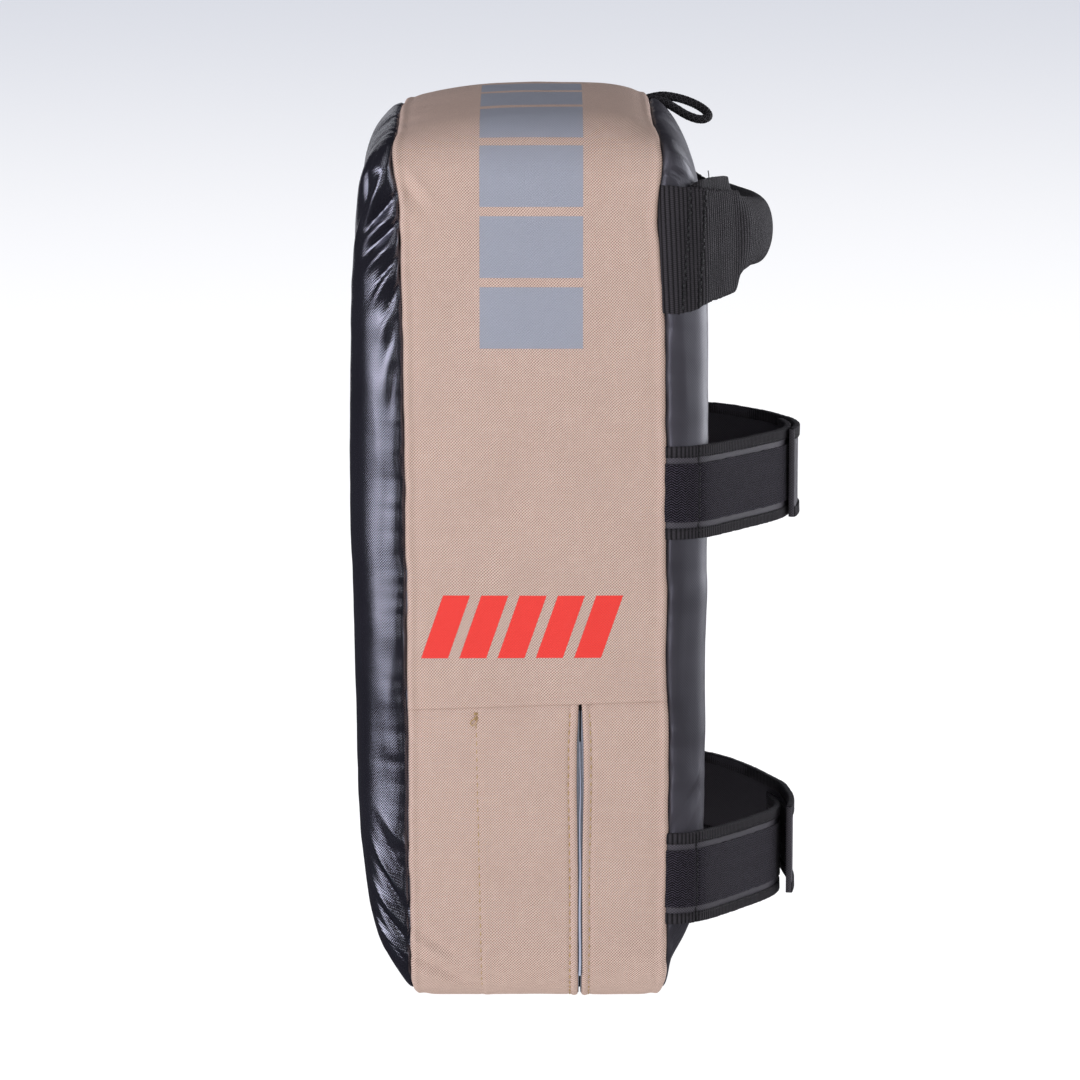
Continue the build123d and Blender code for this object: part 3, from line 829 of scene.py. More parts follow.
def lower_panel(front):
    def shape(P, S, Y):
        s = S[:, 0]
        edge = slit_edges(s)
        x, z, nx, nz = on_outline(s)
        yf, yb = seam_y(s, x, z, nz, True), seam_y(s, x, z, nz, False)
        a, b = (yf, ZIP_Y - edge) if front else (ZIP_Y + edge, yb)
        T = (t_front if front else t_back)[None, :]
        Y2 = a[:, None] + (b - a)[:, None] * T
        t = (Y2 - yf[:, None]) / (yb - yf)[:, None]
        cols = []
        Pn = band_grid(s, t)
        # folded lip beside the slit, a groove where its top stitching pulls it down
        d = (b[:, None] - Y2) if front else (Y2 - a[:, None])
        X, Z, NX, NZ = (np.repeat(q[:, None], Y2.shape[1], 1) for q in (x, z, nx, nz))
        lip = np.where(d < 1.6, -1.5 * (1 - np.sqrt(np.clip(1 - ((1.6 - d) / 1.6) ** 2, 0, 1))), 0.0)
        lip = lip + 0.65 * np.exp(-(((d - 2.6) / 2.0) ** 2)) - 0.55 * np.exp(-(((d - 5.6) / 1.3) ** 2)) * (1 + 0.35 * np.cos(S_like(S, Y2) * 2 * np.pi / 5.8))
        if front:
            ystitch = flap_line(Z, X)
            lip = lip - 0.45 * np.exp(-(((Y2 - ystitch) / 1.3) ** 2)) * (1 + 0.4 * np.cos(S_like(S, Y2) * 2 * np.pi / 5.8))
            lip = lip + 0.25 * np.exp(-(((Y2 - ystitch - 3.5) / 2.5) ** 2))
        # tucked under the upper section at the cross seam
        tuck = (np.exp(-((S_like(S, Y2) - S_FAR + 0.4) / 3.0) ** 2) + np.exp(-((S_like(S, Y2) - PERIM - 0.4) / 3.0) ** 2)) * -0.9
        lift = lip + tuck
        Pn[..., 0] += NX * lift
        Pn[..., 2] += NZ * lift
        slope = cross_seam(S, Y2)
        w = smooth(S_like(S, Y2), PERIM - 45, PERIM) * (X > 0) + smooth(S_like(S, Y2), S_FAR + 45, S_FAR) * (X < 0)
        Pn[..., 2] += slope * w
        Pn[..., 2] = np.maximum(Pn[..., 2], 0.02)
        return Pn, S_like(S, Y2), Y2
    return shape


def S_like(S, Y2):
    return np.repeat(S[:, :1], Y2.shape[1], 1)


def flap_line(Z, X):
    return -40.0 + 3.6 * np.clip((200 - Z) / 190.0, 0, 1)


def band_grid(s, t):
    """Like band_points, with its own shares for each row."""
    x, z, nx, nz = on_outline(s)
    yf, yb = seam_y(s, x, z, nz, True)[:, None], seam_y(s, x, z, nz, False)[:, None]
    Y = yf + (yb - yf) * t
    S = np.repeat(s[:, None], t.shape[1], 1)
    X, Z, NX, NZ = (np.repeat(q[:, None], t.shape[1], 1) for q in (x, z, nx, nz))
    lift = band_lift(Y, S, X, Z, NX, NZ)
    df, db = (Y - yf), (yb - Y)
    for d, seed in ((df, 21), (db, 22)):
        r = np.clip((3.4 - d) / 3.4, 0, 1)
        lift = lift - 3.0 * (1 - np.sqrt(np.maximum(0, 1 - r * r)))
        lift = lift + 0.55 * np.exp(-(((d - 3.0) / 1.9) ** 2)) - 0.35 * np.exp(-(((d - 7.5) / 2.6) ** 2))
        lift = lift + (Noise(seed)(S / 6.5) * 0.45 + Noise(seed + 3)(S / 15.0) * 0.5) * np.exp(-d / 9.0) * smooth(d, 0.0, 2.0)
    slow = 0.55 * fractal(31, S / 55.0, Y / 60.0, 3) + 0.22 * fractal(33, S / 17.0, Y / 19.0, 2)
    lift = lift + slow * smooth(df, 0, 12) * smooth(db, 0, 12) + band_folds(S, Y, X, Z)
    Z2 = Z + NZ * lift
    return np.stack([X + NX * lift, Y, np.maximum(Z2, 0.02)], -1)


t_front = np.concatenate([np.linspace(0, 0.06, 9)[:-1], np.linspace(0.06, 0.92, 64), np.linspace(0.92, 1, 20)[1:]])
t_back = np.concatenate([np.linspace(0, 0.18, 20)[:-1], np.linspace(0.18, 0.90, 28), np.linspace(0.90, 1, 9)[1:]])
lower_front = band_piece("gusset_lower_front_skin", s_low, t_front, lower_panel(True), M_BAND, uv_shift=-PERIM)
lower_back = band_piece("gusset_lower_back_skin", s_low, t_back, lower_panel(False), M_BAND, uv_shift=-PERIM)
for ob, node in ((lower_front, "gusset_lower_front"), (lower_back, "gusset_lower_back")):
    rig.ride(ob, "shield"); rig.replaces(ob, node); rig.slot(ob, "side_weave")


# ------------------------------------------------------------------ covers
def shape_side(u, r):
    q = 1 - np.clip(u / r, 0, 1)
    return 0.885 * np.sqrt(np.maximum(0, 1 - q * q)) + 0.115 * (1 - (1 - np.clip(u / 160.0, 0, 1)) ** 2)


def cover_rim(front):
    """The cover's own edge seen from the front: its height over x at the top."""
    s = np.arange(0, PERIM, 1.0)
    x, z, nx, nz = on_outline(s)
    lift = band_lift(seam_y(s, x, z, nz, front), s, x, z, nx, nz)
    x, z = x + nx * lift, z + nz * lift
    upper = z > 562.0
    order = np.argsort(x[upper])
    return x[upper][order], z[upper][order]


RIMS = {}


def cover_points(front, s, v):
    x, z, nx, nz = on_outline(s)
    ys = seam_y(s, x, z, nz, front)
    edge = band_lift(ys, s, x, z, nx, nz)
    x, z = x + nx * edge, z + nz * edge
    tz = np.clip(z, 165, 450)
    S, V = np.meshgrid(s, v, indexing="ij")
    X0, Z0, TZ, NX, NZ, YS = (np.repeat(q[:, None], len(v), 1) for q in (x, z, tz, nx, nz, ys))
    share = V
    X = X0 * (1 - share)
    Z = Z0 + (TZ - Z0) * share
    ux = HALF_W - np.abs(X)
    if front not in RIMS:
        RIMS[front] = cover_rim(front)
    top = np.interp(X, *RIMS[front])
    ut, ub = np.maximum(top - Z, 0), np.maximum(Z - bottom_of(np.abs(X)) - 2.0, 0)
    U = share * 160.0
    if front:
        fs = shape_side(np.where(np.abs(X0) > 130, ux, 200), 37.0)
        d_side = shape_side(np.minimum(ux, 160), 37.0)
        f_top = lerp_soft(ut, [(0, 0.0), (3, 0.14), (7, 0.27), (12, 0.40), (17, 0.50), (24, 0.59), (33, 0.675), (48, 0.76), (66, 0.825), (100, 0.90),
                               (135, 0.945), (180, 0.98), (230, 1.0), (600, 1.0)])
        f_bot = lerp_soft(ub, [(0, 0.0), (8, 0.13), (20, 0.30), (29, 0.41), (40, 0.53), (55, 0.63), (73, 0.71), (107, 0.80), (140, 0.86),
                               (223, 0.905), (290, 0.95), (350, 1.0), (600, 1.0)])
        full = 41.5
    else:
        d_side = shape_side(np.minimum(ux, 160), 28.0)
        f_top = (1 - (1 - np.clip(ut / 110.0, 0, 1)) ** 2) ** 0.56
        f_bot = lerp_soft(ub, [(0, 0.0), (10, 0.05), (22, 0.10), (37, 0.33), (45, 0.44), (53, 0.55), (61, 0.64), (85, 0.74), (107, 0.81), (173, 0.88),
                               (240, 0.94), (300, 1.0), (600, 1.0)])
        full = 31.0
    D = full * (sum(np.clip(q, 0.004, 1) ** -5.0 for q in (d_side, f_top, f_bot)) - 2.0) ** -0.2
    D = D - D[:, :1] * np.exp(-U / 5.0)
    sign = -1.0 if front else 1.0
    base = SEAM_F if front else SEAM_B + 3.6 * smooth(Z, 260, 20)
    Y = base + (YS - base) * np.exp(-U / 30.0) + sign * D
    # the seam itself is tucked in
    P = np.stack([X, Y, Z], -1)
    step = np.linalg.norm(np.diff(P, axis=1), axis=2)
    A = np.concatenate([np.zeros((len(s), 1)), np.cumsum(step, axis=1)], 1)
    tuck = 3.1 * np.exp(-(A / 2.6) ** 1.3)
    P[..., 0] -= NX * tuck
    P[..., 2] -= NZ * tuck
    dirx, dirz = X0, Z0 - TZ
    size = np.hypot(dirx, dirz)
    total = A[:, -1:]
    uv = np.stack([(total - A) * dirx / size, TZ + (total - A) * dirz / size], -1)
    return P, S, A, uv, (X0, Z0, NX, NZ)


def bottom_of(ax):
    """Height of the outline's lower edge at |x|."""
    q = np.clip((ax - 120.0) / 40.0, 0, 1)
    return 40.0 - 40.0 * np.sqrt(np.maximum(0, 1 - q * q))


def lerp_soft(x, table):
    total = 0.0
    for k in (-1.0, -0.5, 0.0, 0.5, 1.0):
        total = total + lerp_table(np.maximum(x * (1 + 0.12 * k), 0), table)
    return total / 5.0


def s_of(z, near=True):
    return (z - POCKET_Z) % PERIM if near else S_FAR + (POCKET_Z - z)


def cover_wrinkles(front, S, A, X0, Z0):
    """Seam puckers and slack waves of a cover, the same on both sides of where the outline closes."""
    k = smooth(S, 0, 60)
    return wrinkles_at(front, S, A, X0, Z0) * k + wrinkles_at(front, S + PERIM, A, X0, Z0) * (1 - k)


def wrinkles_at(front, S, A, X0, Z0):
    seed = 41 if front else 61
    h = 0.0
    close = np.exp(-A / 7.0) * smooth(A, 0.0, 2.2)
    h = h + close * (0.75 * Noise(seed)(S / 5.0) + 0.6 * Noise(seed + 1)(S / 11.0))
    mid = np.exp(-A / 26.0) * smooth(A, 1.0, 8.0)
    lean = S + A * 0.35 * Noise(seed + 2)(S / 90.0)
    h = h + mid * (0.85 * Noise(seed + 3)(lean / 15.0, A / 60.0) + 0.6 * Noise(seed + 4)(lean / 31.0, A / 80.0))
    top = smooth(Z0, 420, 520) * (np.abs(X0) > 60)
    h = h + top * np.exp(-A / 34.0) * smooth(A, 2, 9) * (1.15 * Noise(seed + 6)(lean / 12.0, A / 70.0))
    return h


def big_folds_front(S, A):
    h = 0.0
    for near in (True, False):
        k = 1 if near else -1
        for z0, a0, ln, w, an, dp in (
            (547, 14, 24, 3.6, -30, 3.4), (536, 12, 18, 2.6, -52, -3.6), (527, 11, 17, 2.2, -57, 1.6), (519, 11, 15, 2.6, -55, -4.0), (507, 12, 15, 3.6, -50, 3.2),
            (497, 8, 13, 2.2, -42, -3.0), (486, 12, 16, 3.8, -32, 2.4), (475, 7, 14, 2.4, -26, -2.4), (463, 11, 16, 4.0, -20, 1.5), (450, 8, 16, 2.8, -16, -1.6),
            (436, 10, 18, 4.0, -10, 0.9), (420, 7, 16, 3.0, -8, -1.0),
            (560, 20, 22, 4.0, -12, -2.0), (541, 22, 22, 4.0, -50, 1.8),
            (118, 9, 14, 2.6, 40, 1.2), (106, 12, 18, 3.4, 30, -1.3), (90, 14, 22, 2.4, 34, 1.8), (80, 12, 20, 3.0, 38, -2.0), (66, 15, 20, 2.6, 44, 2.2),
            (55, 13, 17, 2.8, 50, -2.4), (43, 17, 18, 2.4, 58, 2.6), (34, 13, 15, 2.8, 66, -2.2), (24, 19, 16, 2.8, 80, 1.8), (16, 13, 12, 2.8, 92, -1.4),
            (160, 18, 34, 6.0, 4, -0.8), (215, 12, 30, 5.0, -6, 0.7), (260, 22, 50, 7.0, 2, 0.8), (330, 14, 44, 6.0, -3, -0.8), (400, 20, 40, 6.5, 4, 0.8),
        ):
            h = h + fold(S, A, s_of(z0, near), a0, ln, w, an * k, dp)
    return h


def big_folds_back(S, A):
    h = 0.0
    for near in (True, False):
        k = 1 if near else -1
        for z0, a0, ln, w, an, dp in (
            (138, 12, 16, 3.2, 34, -1.6), (146, 16, 18, 3.8, 30, 1.3), (126, 15, 16, 3.6, 38, 0.8), (560, 12, 14, 3.2, -60, -1.2), (572, 16, 14, 3.4, -74, 1.1),
            (548, 18, 16, 4.0, -50, 0.9), (46, 12, 14, 3.2, 50, -1.3), (34, 14, 14, 3.2, 66, 1.2), (240, 14, 40, 5.0, 3, -0.6),
            (420, 14, 40, 5.5, -4, 0.6),
        ):
            h = h + fold(S, A, s_of(z0, near), a0, ln, w, an * k, dp)
    return h


def cover_piece(name, front, material):
    s = np.linspace(0, PERIM, 1080, endpoint=False)
    v = np.concatenate([np.linspace(0, 1, 84) ** 2.25])
    P, S, A, uv, (X0, Z0, NX, NZ) = cover_points(front, s, v)
    N = grid_normals(np.concatenate([P, P[:1]], 0))[:-1]
    want = np.array([0, -1.0 if front else 1.0, 0])
    if np.sum(N[:, -20:-5] @ want) < 0:
        N = -N
    h = cover_wrinkles(front, S, A, X0, Z0) + (big_folds_front(S, A) if front else big_folds_back(S, A))
    h = h + 0.9 * fractal(45 if front else 65, P[..., 0] / 62.0, P[..., 2] / 62.0, 3) * smooth(A, 6, 40)
    h = h * smooth(A, 0.0, 2.5) * smooth(v[None, :], 1.0, 0.9)
    P = P + N * h[..., None]
    rows, cols = P.shape[:2]
    verts = P.reshape(-1, 3)
    faces = grid_faces(rows, cols, wrap_rows=True)
    ob = make(name, verts, faces, uv.reshape(-1, 2), material)
    import bmesh
    bm = bmesh.new()
    bm.from_mesh(ob.data)
    last = [bm.verts[i * cols + cols - 1] for i in range(rows)] if bm.verts.ensure_lookup_table() is None else []
    bmesh.ops.remove_doubles(bm, verts=last, dist=0.0006)
    bmesh.ops.recalc_face_normals(bm, faces=bm.faces)
    bm.to_mesh(ob.data)
    bm.free()
    centre = Vector((0, (-126 if front else 116) * MM, 0.3))
    ob.data.update()
    poly = max(ob.data.polygons, key=lambda p: -abs(p.center.y - centre.y))
    if poly.normal.y * (-1 if front else 1) < 0:
        ob.data.flip_normals()
    solid = ob.modifiers.new("thickness", "SOLIDIFY")
    solid.thickness, solid.offset, solid.use_rim = 0.0012, -1.0, True
    return ob


strike = cover_piece("strike_cover_skin", True, M_STRIKE)
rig.ride(strike, "shield"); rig.replaces(strike, "strike_cover"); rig.slot(strike, "strike_vinyl"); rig.padded(strike, fill=0.85)
back = cover_piece("back_cover_skin", False, M_BACK)
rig.ride(back, "shield"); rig.replaces(back, "back_cover"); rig.slot(back, "back_vinyl"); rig.padded(back, fill=0.85)


# ------------------------------------------------------------------ foam inside the cover
def foam_layer(name, node, y0, y1, front, back, material, slot, seed):
    """A foam block inside the skins. front or back says which end follows a cover."""
    s = np.linspace(0, PERIM, 300, endpoint=False)
    x, z, nx, nz = on_outline(s)
    rings = []

    def wall(y):
        lift = band_lift(np.full_like(s, y), s, x, z, nx, nz) - 7.5
        rings.append(np.stack([x + nx * lift, np.full_like(s, y), z + nz * lift], -1))

    def cover_end(is_front):
        v = np.linspace(0, 1, 26)[1:-1] ** 1.8
        P, S, A, uv, rest = cover_points(is_front, s, v)
        N = grid_normals(np.concatenate([P, P[:1]], 0))[:-1]
        if np.sum(N[:, -5] @ np.array([0, -1.0 if is_front else 1.0, 0])) < 0:
            N = -N
        P = P - N * 6.5
        inset = 7.5 * np.exp(-A / 30.0)
        P[..., 0] -= rest[2] * inset
        P[..., 2] -= rest[3] * inset
        return [P[:, i] for i in range(P.shape[1])]

    centre = np.array([0.0, 0, 300.0])

    def flat_end(y):
        base = rings[-1] if rings else None
        return [centre + (base - centre) * np.array([k, 1, k]) for k in (0.7, 0.35, 0.05)]

    if front:
        rings += cover_end(True)[::-1]
        wall(-80.0)
    else:
        wall(y0)
        first = rings.pop()
        rings += [centre * [1, 0, 1] + (first - centre * [1, 0, 1]) * [k, 1, k] for k in (0.05, 0.35, 0.7)] + [first]
    for y in np.linspace(max(y0, -78), min(y1, 74), 7)[(1 if not front else 0):(-1 if not back else None)]:
        wall(y)
    if back:
        wall(76.0)
        rings += cover_end(False)
    else:
        wall(y1)
        last = rings[-1]
        rings += [centre * [1, 0, 1] + (last - centre * [1, 0, 1]) * [k, 1, k] for k in (0.7, 0.35, 0.05)]
    P = np.stack(rings, 0)
    rows, cols = P.shape[:2]
    faces = [tuple(f) for f in grid_faces(rows, cols, wrap_cols=True)]
    faces.append(tuple(range(cols)))
    faces.append(tuple(range((rows - 1) * cols, rows * cols)))
    ob = make(name, P.reshape(-1, 3), faces, None, material)
    fix_normals(ob)
    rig.ride(ob, "shield"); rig.replaces(ob, node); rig.slot(ob, slot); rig.padded(ob, fill=0.9)
    return ob


foam_layer("strike_foam", "foam_strike_layer", -72.0, -46.0, True, False, M_FOAM_FIRM, "foam_firm", 1)
foam_layer("core_foam", "foam_core_block", -45.6, 52.0, False, False, M_FOAM, "foam_soft", 2)
foam_layer("back_foam", "foam_back_layer", 52.4, 72.0, False, True, M_FOAM_FIRM, "foam_firm", 3)


# ------------------------------------------------------------------ stitches
def stitches(name, points, normals, body, slot, material, pitch=5.8, length=4.1, radius=0.42, rise=0.35, seed=1, wobble=0.12):
    """A row of thread stitches along points that lie on a surface."""
    P, N = np.asarray(points, float), np.asarray(normals, float)
    d = np.concatenate([[0], np.cumsum(np.linalg.norm(np.diff(P, axis=0), axis=1))])
    count = max(2, int(d[-1] / pitch))
    rnd = np.random.RandomState(seed)
    verts, faces = [], []
    rings, sides = 7, 8
    for i in range(count):
        mid = (i + 0.5) * d[-1] / count
        half = length / 2 * (1 + rnd.uniform(-0.06, 0.06))
        ks = np.linspace(-1, 1, rings)
        at = np.clip(mid + ks * half, 0, d[-1])
        C = np.stack([np.interp(at, d, P[:, j]) for j in range(3)], -1)
        n = np.array([np.interp(mid, d, N[:, j]) for j in range(3)])
        n /= np.linalg.norm(n)
        t = C[-1] - C[0]
        t /= np.linalg.norm(t)
        b = np.cross(t, n)
        side = rnd.uniform(-wobble, wobble)
        base = len(verts)
        for k, c in zip(ks, C):
            r = radius * math.sqrt(max(0.04, 1 - abs(k) ** 3))
            o = c + n * (rise * (1 - k * k) - 0.5 * abs(k) ** 4) + b * (side + 0.10 * k)
            for j in range(sides):
                a = 2 * math.pi * j / sides
                twist = 1 + 0.16 * math.sin(2 * a + k * 7.0)
                verts.append(o + (b * math.cos(a) + n * math.sin(a)) * r * twist)
        for r_ in range(rings - 1):
            for j in range(sides):
                j1 = (j + 1) % sides
                faces.append((base + r_ * sides + j, base + r_ * sides + j1, base + (r_ + 1) * sides + j1, base + (r_ + 1) * sides + j))
        faces.append(tuple(base + j for j in range(sides))[::-1])
        faces.append(tuple(base + (rings - 1) * sides + j for j in range(sides)))
    ob = make(name, np.array(verts), faces, None, material)
    fix_normals(ob)
    if body:
        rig.ride(ob, body)
    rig.slot(ob, slot)
    return ob


def thread_end(name, points, radius, body, slot, material):
    """A loose end of thread through points."""
    P, L = cubic(points, 26)
    T = tangents(P)
    up = np.array([0.3, 0.5, 0.8])
    verts, faces, sides = [], [], 7
    for i, (p, t) in enumerate(zip(P, T)):
        b = np.cross(t, up); b /= np.linalg.norm(b)
        n = np.cross(b, t)
        for j in range(sides):
            a = 2 * math.pi * j / sides
            verts.append(p + (b * math.cos(a) + n * math.sin(a)) * radius * (1 + 0.15 * math.sin(i * 1.3 + 2 * a)))
    for i in range(len(P) - 1):
        for j in range(sides):
            j1 = (j + 1) % sides
            faces.append((i * sides + j, i * sides + j1, (i + 1) * sides + j1, (i + 1) * sides + j))
    faces.append(tuple(range(sides))[::-1])
    faces.append(tuple((len(P) - 1) * sides + j for j in range(sides)))
    ob = make(name, np.array(verts), faces, None, material)
    fix_normals(ob)
    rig.ride(ob, body)
    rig.slot(ob, slot)
    return ob


def band_at(s, y, lift=0.0):
    """Points and normals on the side band at lengths s and places y."""
    s, y = np.asarray(s, float), np.asarray(y, float)
    x, z, nx, nz = on_outline(s)
    yf, yb = seam_y(s, x, z, nz, True), seam_y(s, x, z, nz, False)
    P = band_grid(s, ((y - yf) / (yb - yf))[:, None])[:, 0]
    N = np.stack([nx, np.zeros_like(nx), nz], -1)
    return P + N * lift, N


# two rows beside the slit, and one that holds the inner flap, round the lower section
def low_rows():
    s_a, s_b = S_FAR + 7.0, PERIM - 5.0
    s = np.linspace(s_a, s_b, 900)
    x, z, nx, nz = on_outline(s)
    edge = slit_edges(s)
    for name, y in (("zip_stitch_row_front", ZIP_Y - edge - 5.6), ("zip_stitch_row_back", ZIP_Y + edge + 5.0)):
        P, N = band_at(s, y, -0.45)
        low = np.where(P[:, 2] < 0.6)[0]
        P[:, 2] = np.maximum(P[:, 2], 0.25 + 0.42)
        stitches(name, P, N, "shield", "side_weave", M_THREAD_KHAKI, 5.8, 4.2, 0.36, 0.25, seed=3)
    s = np.linspace(PERIM - 7.0, PERIM - 198.0, 300)
    x, z, nx, nz = on_outline(s)
    P, N = band_at(s, flap_line(z, x), -0.35)
    stitches("flap_stitch_row", P, N, "shield", "side_weave", M_THREAD_KHAKI, 5.6, 3.9, 0.30, 0.15, seed=4)
    s = np.linspace(S_FAR + 7.0, S_FAR + 198.0, 300)
    x, z, nx, nz = on_outline(s)
    P, N = band_at(s, flap_line(z, x), -0.35)
    stitches("flap_stitch_row_far", P, N, "shield", "side_weave", M_THREAD_KHAKI, 5.6, 3.9, 0.30, 0.15, seed=5)
    # a bar tack under the cross seam, with its loose end
    for i, dy in enumerate((-1.0, 0.1, 1.1)):
        s = np.linspace(PERIM - 5.0, PERIM - 11.5, 12)
        P, N = band_at(s, np.full(12, -40.0 + dy), 0.0)
        stitches(f"bar_tack_{i}", P, N, "shield", "side_weave", M_THREAD_KHAKI, 2.4, 2.2, 0.33, 0.2, seed=6 + i)


low_rows()
thread_end("bar_tack_thread", [(160.9, -39.0, 199.0), (162.2, -40.6, 197.6), (161.9, -43.6, 194.6), (161.6, -42.6, 192.6), (161.9, -40.4, 194.0), (162.3, -39.2, 196.2)],
           0.28, "shield", "side_weave", M_THREAD_KHAKI)


# the pale edge of the zip's tape, seen in the slit and just proud of it at the base
def zip_edge():
    s = np.linspace(PERIM - 186.0, PERIM - 26.0, 300)
    x, z, nx, nz = on_outline(s)
    prof = [(-0.75, -2.2), (-0.75, 0.0), (-0.45, 0.30), (0.0, 0.38), (0.45, 0.30), (0.75, 0.0), (0.75, -2.2)]
    base, N = band_at(s, np.full_like(s, ZIP_Y), 0.0)
    depth = lerp_table(z, [(0, 0.5), (14, 0.9), (60, 0.2), (110, -0.9), (150, -1.5), (200, -2.2)])
    w = lerp_table(z, [(0, 1.0), (60, 1.0), (120, 0.7), (200, 0.4)])
    rows = []
    for dy, dn in prof:
        rows.append(base + N * (depth + dn)[:, None] + np.array([0, 1, 0]) * (dy * w + 0.15 * np.sin(s / 9.0))[:, None])
    P = np.stack(rows, 1)
    P[..., 2] = np.maximum(P[..., 2], 0.05)
    faces = [tuple(f) for f in grid_faces(P.shape[0], P.shape[1], wrap_cols=True)]
    faces.append(tuple(range(7)))
    faces.append(tuple(range((P.shape[0] - 1) * 7, P.shape[0] * 7)))
    uv = np.stack(np.meshgrid(s, np.arange(7) * 0.6, indexing="ij"), -1).reshape(-1, 2)
    ob = make("zip_tape_edge", P.reshape(-1, 3), faces, uv, M_TAPE)
    fix_normals(ob)
    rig.ride(ob, "shield"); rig.slot(ob, "zip_tape")


zip_edge()


# ------------------------------------------------------------------ straps
MID_Z, LOW_Z = (313.0, 375.0), (57.0, 119.0)
START = (150.06, 108.56)
ROOT = [(152.6, 82.0), (155.4, 86.5), (157.2, 91.5), (155.8, 98.6), (152.6, 105.0)]
NEAR_IN = [(149.0, 109.2), (137.0, 117.4), (110, 132.0), (76, 149.0), (50, 161.5), (30, 168.5), (10, 172.8), (-14, 174.4), (-40, 172.0)]
FAR_IN = [(-149.2, 109.2), (-135, 127.0), (-100, 153.5), (-66, 171.0)]


def strap_paths(k, over_by, root_by, flare):
    def scaled(p):
        return [(x, START[1] + (y - START[1]) * k) for x, y in p]

    near, _ = cubic([(x, y, 0) for x, y in [(x, y + root_by * (105.0 - y) / 23.0) for x, y in ROOT] + scaled(NEAR_IN)], 520)
    T = tangents(near)
    N = np.stack([T[:, 1], -T[:, 0], 0 * T[:, 0]], -1)
    over = near + N * (over_by + flare * smooth(near[:, 0], -30, 32))[:, None]
    picks = [over[np.argmin(np.abs(over[:, 0] - x))] for x in (-40, -26, -12, 2, 16, 30)]
    picks = [p for p in picks if p[0] > -44]
    far, _ = cubic([(-x, y, 0) for x, y in ROOT] + [(x, y, 0) for x, y in scaled(FAR_IN)] + [tuple(p) for p in picks], 560)
    return near, far


def frame_of(path, side):
    T = tangents(path)
    N = np.stack([T[:, 1], -T[:, 0], 0 * T[:, 0]], -1) * side
    L = np.concatenate([[0], np.cumsum(np.linalg.norm(np.diff(path, axis=0), axis=1))])
    return T, N, L


def sweep(name, path, side, prof, z_mid, dz, u0, u1, step, material, body, slot, ribs=None, jitter=0.0, seed=1, caps=True, uv_flat=False, dent=None):
    """Sweeps a closed profile of (normal, height) points along a path; ribs=(pitch, depth, which points)."""
    T, N, L = frame_of(path, side)
    u = np.arange(u0, u1, step)
    at = lambda q: np.stack([np.interp(u, L, q[:, j]) for j in range(3)], -1)
    P0, N0 = at(path), at(N)
    N0 /= np.linalg.norm(N0, axis=1)[:, None]
    prof = np.asarray(prof, float)
    n, w = prof[:, 0][None, :], prof[:, 1][None, :]
    n = np.repeat(n, len(u), 0)
    w = np.repeat(w, len(u), 0)
    if ribs:
        pitch, depth, mask = ribs
        wave = np.abs(np.sin(math.pi * u / pitch))[:, None] ** 0.7 - 0.6
        n = n + depth * wave * np.asarray(mask)[None, :]
    edge = jitter * Noise(seed)(u / 4.0, 0.0)[:, None]
    w = w + edge * np.sign(w)
    flop = 0.9 * Noise(seed + 5)(u / 45.0, 2.0)[:, None] * (w / 31.0) ** 2
    n = n + flop * smooth(u, 30, 70)[:, None]
    if dent is not None:
        pull = np.exp(-(((u - dent) / 1.1) ** 2))[:, None]
        n = n - pull * np.clip(n - 0.4, 0, 1) * 0.62
    V = P0[:, None, :] + N0[:, None, :] * n[..., None]
    V[..., 2] = z_mid + w + dz(V[..., 0])
    rows, cols = V.shape[:2]
    faces = [tuple(f) for f in grid_faces(rows, cols, wrap_cols=True)]
    if caps:
        faces.append(tuple(range(cols)))
        faces.append(tuple(range((rows - 1) * cols, rows * cols)))
    around = np.concatenate([[0], np.cumsum(np.linalg.norm(np.diff(prof, axis=0), axis=1))])
    vv = prof[:, 1] if uv_flat else around
    uv = np.stack(np.meshgrid(u, vv, indexing="ij"), -1).reshape(-1, 2)
    ob = make(name, V.reshape(-1, 3), faces, uv, material)
    fix_normals(ob)
    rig.slot(ob, slot)
    if isinstance(body, str):
        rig.ride(ob, body)
    else:
        a, b, start, end = body
        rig.blend(ob, a, b, start=start, end=end)
    return ob, V, u


def rounded(n0, n1, w0, w1, r, per=8, fill=14):
    """Closed rounded rectangle, from the inner face round to the outer face."""
    pts = []
    corners = ((n1 - r, w1 - r, 0), (n0 + r, w1 - r, 90), (n0 + r, w0 + r, 180), (n1 - r, w0 + r, 270))
    for cn, cw, a0 in corners:
        for i in range(per):
            a = math.radians(a0 + 90 * i / (per - 1))
            pts.append((cn + r * math.cos(a), cw + r * math.sin(a)))
    out = []
    for i, p in enumerate(pts):
        q = pts[(i + 1) % len(pts)]
        gap = math.hypot(q[0] - p[0], q[1] - p[1])
        k = max(1, int(gap / 2.2))
        for j in range(k):
            out.append((p[0] + (q[0] - p[0]) * j / k, p[1] + (q[1] - p[1]) * j / k))
    return out


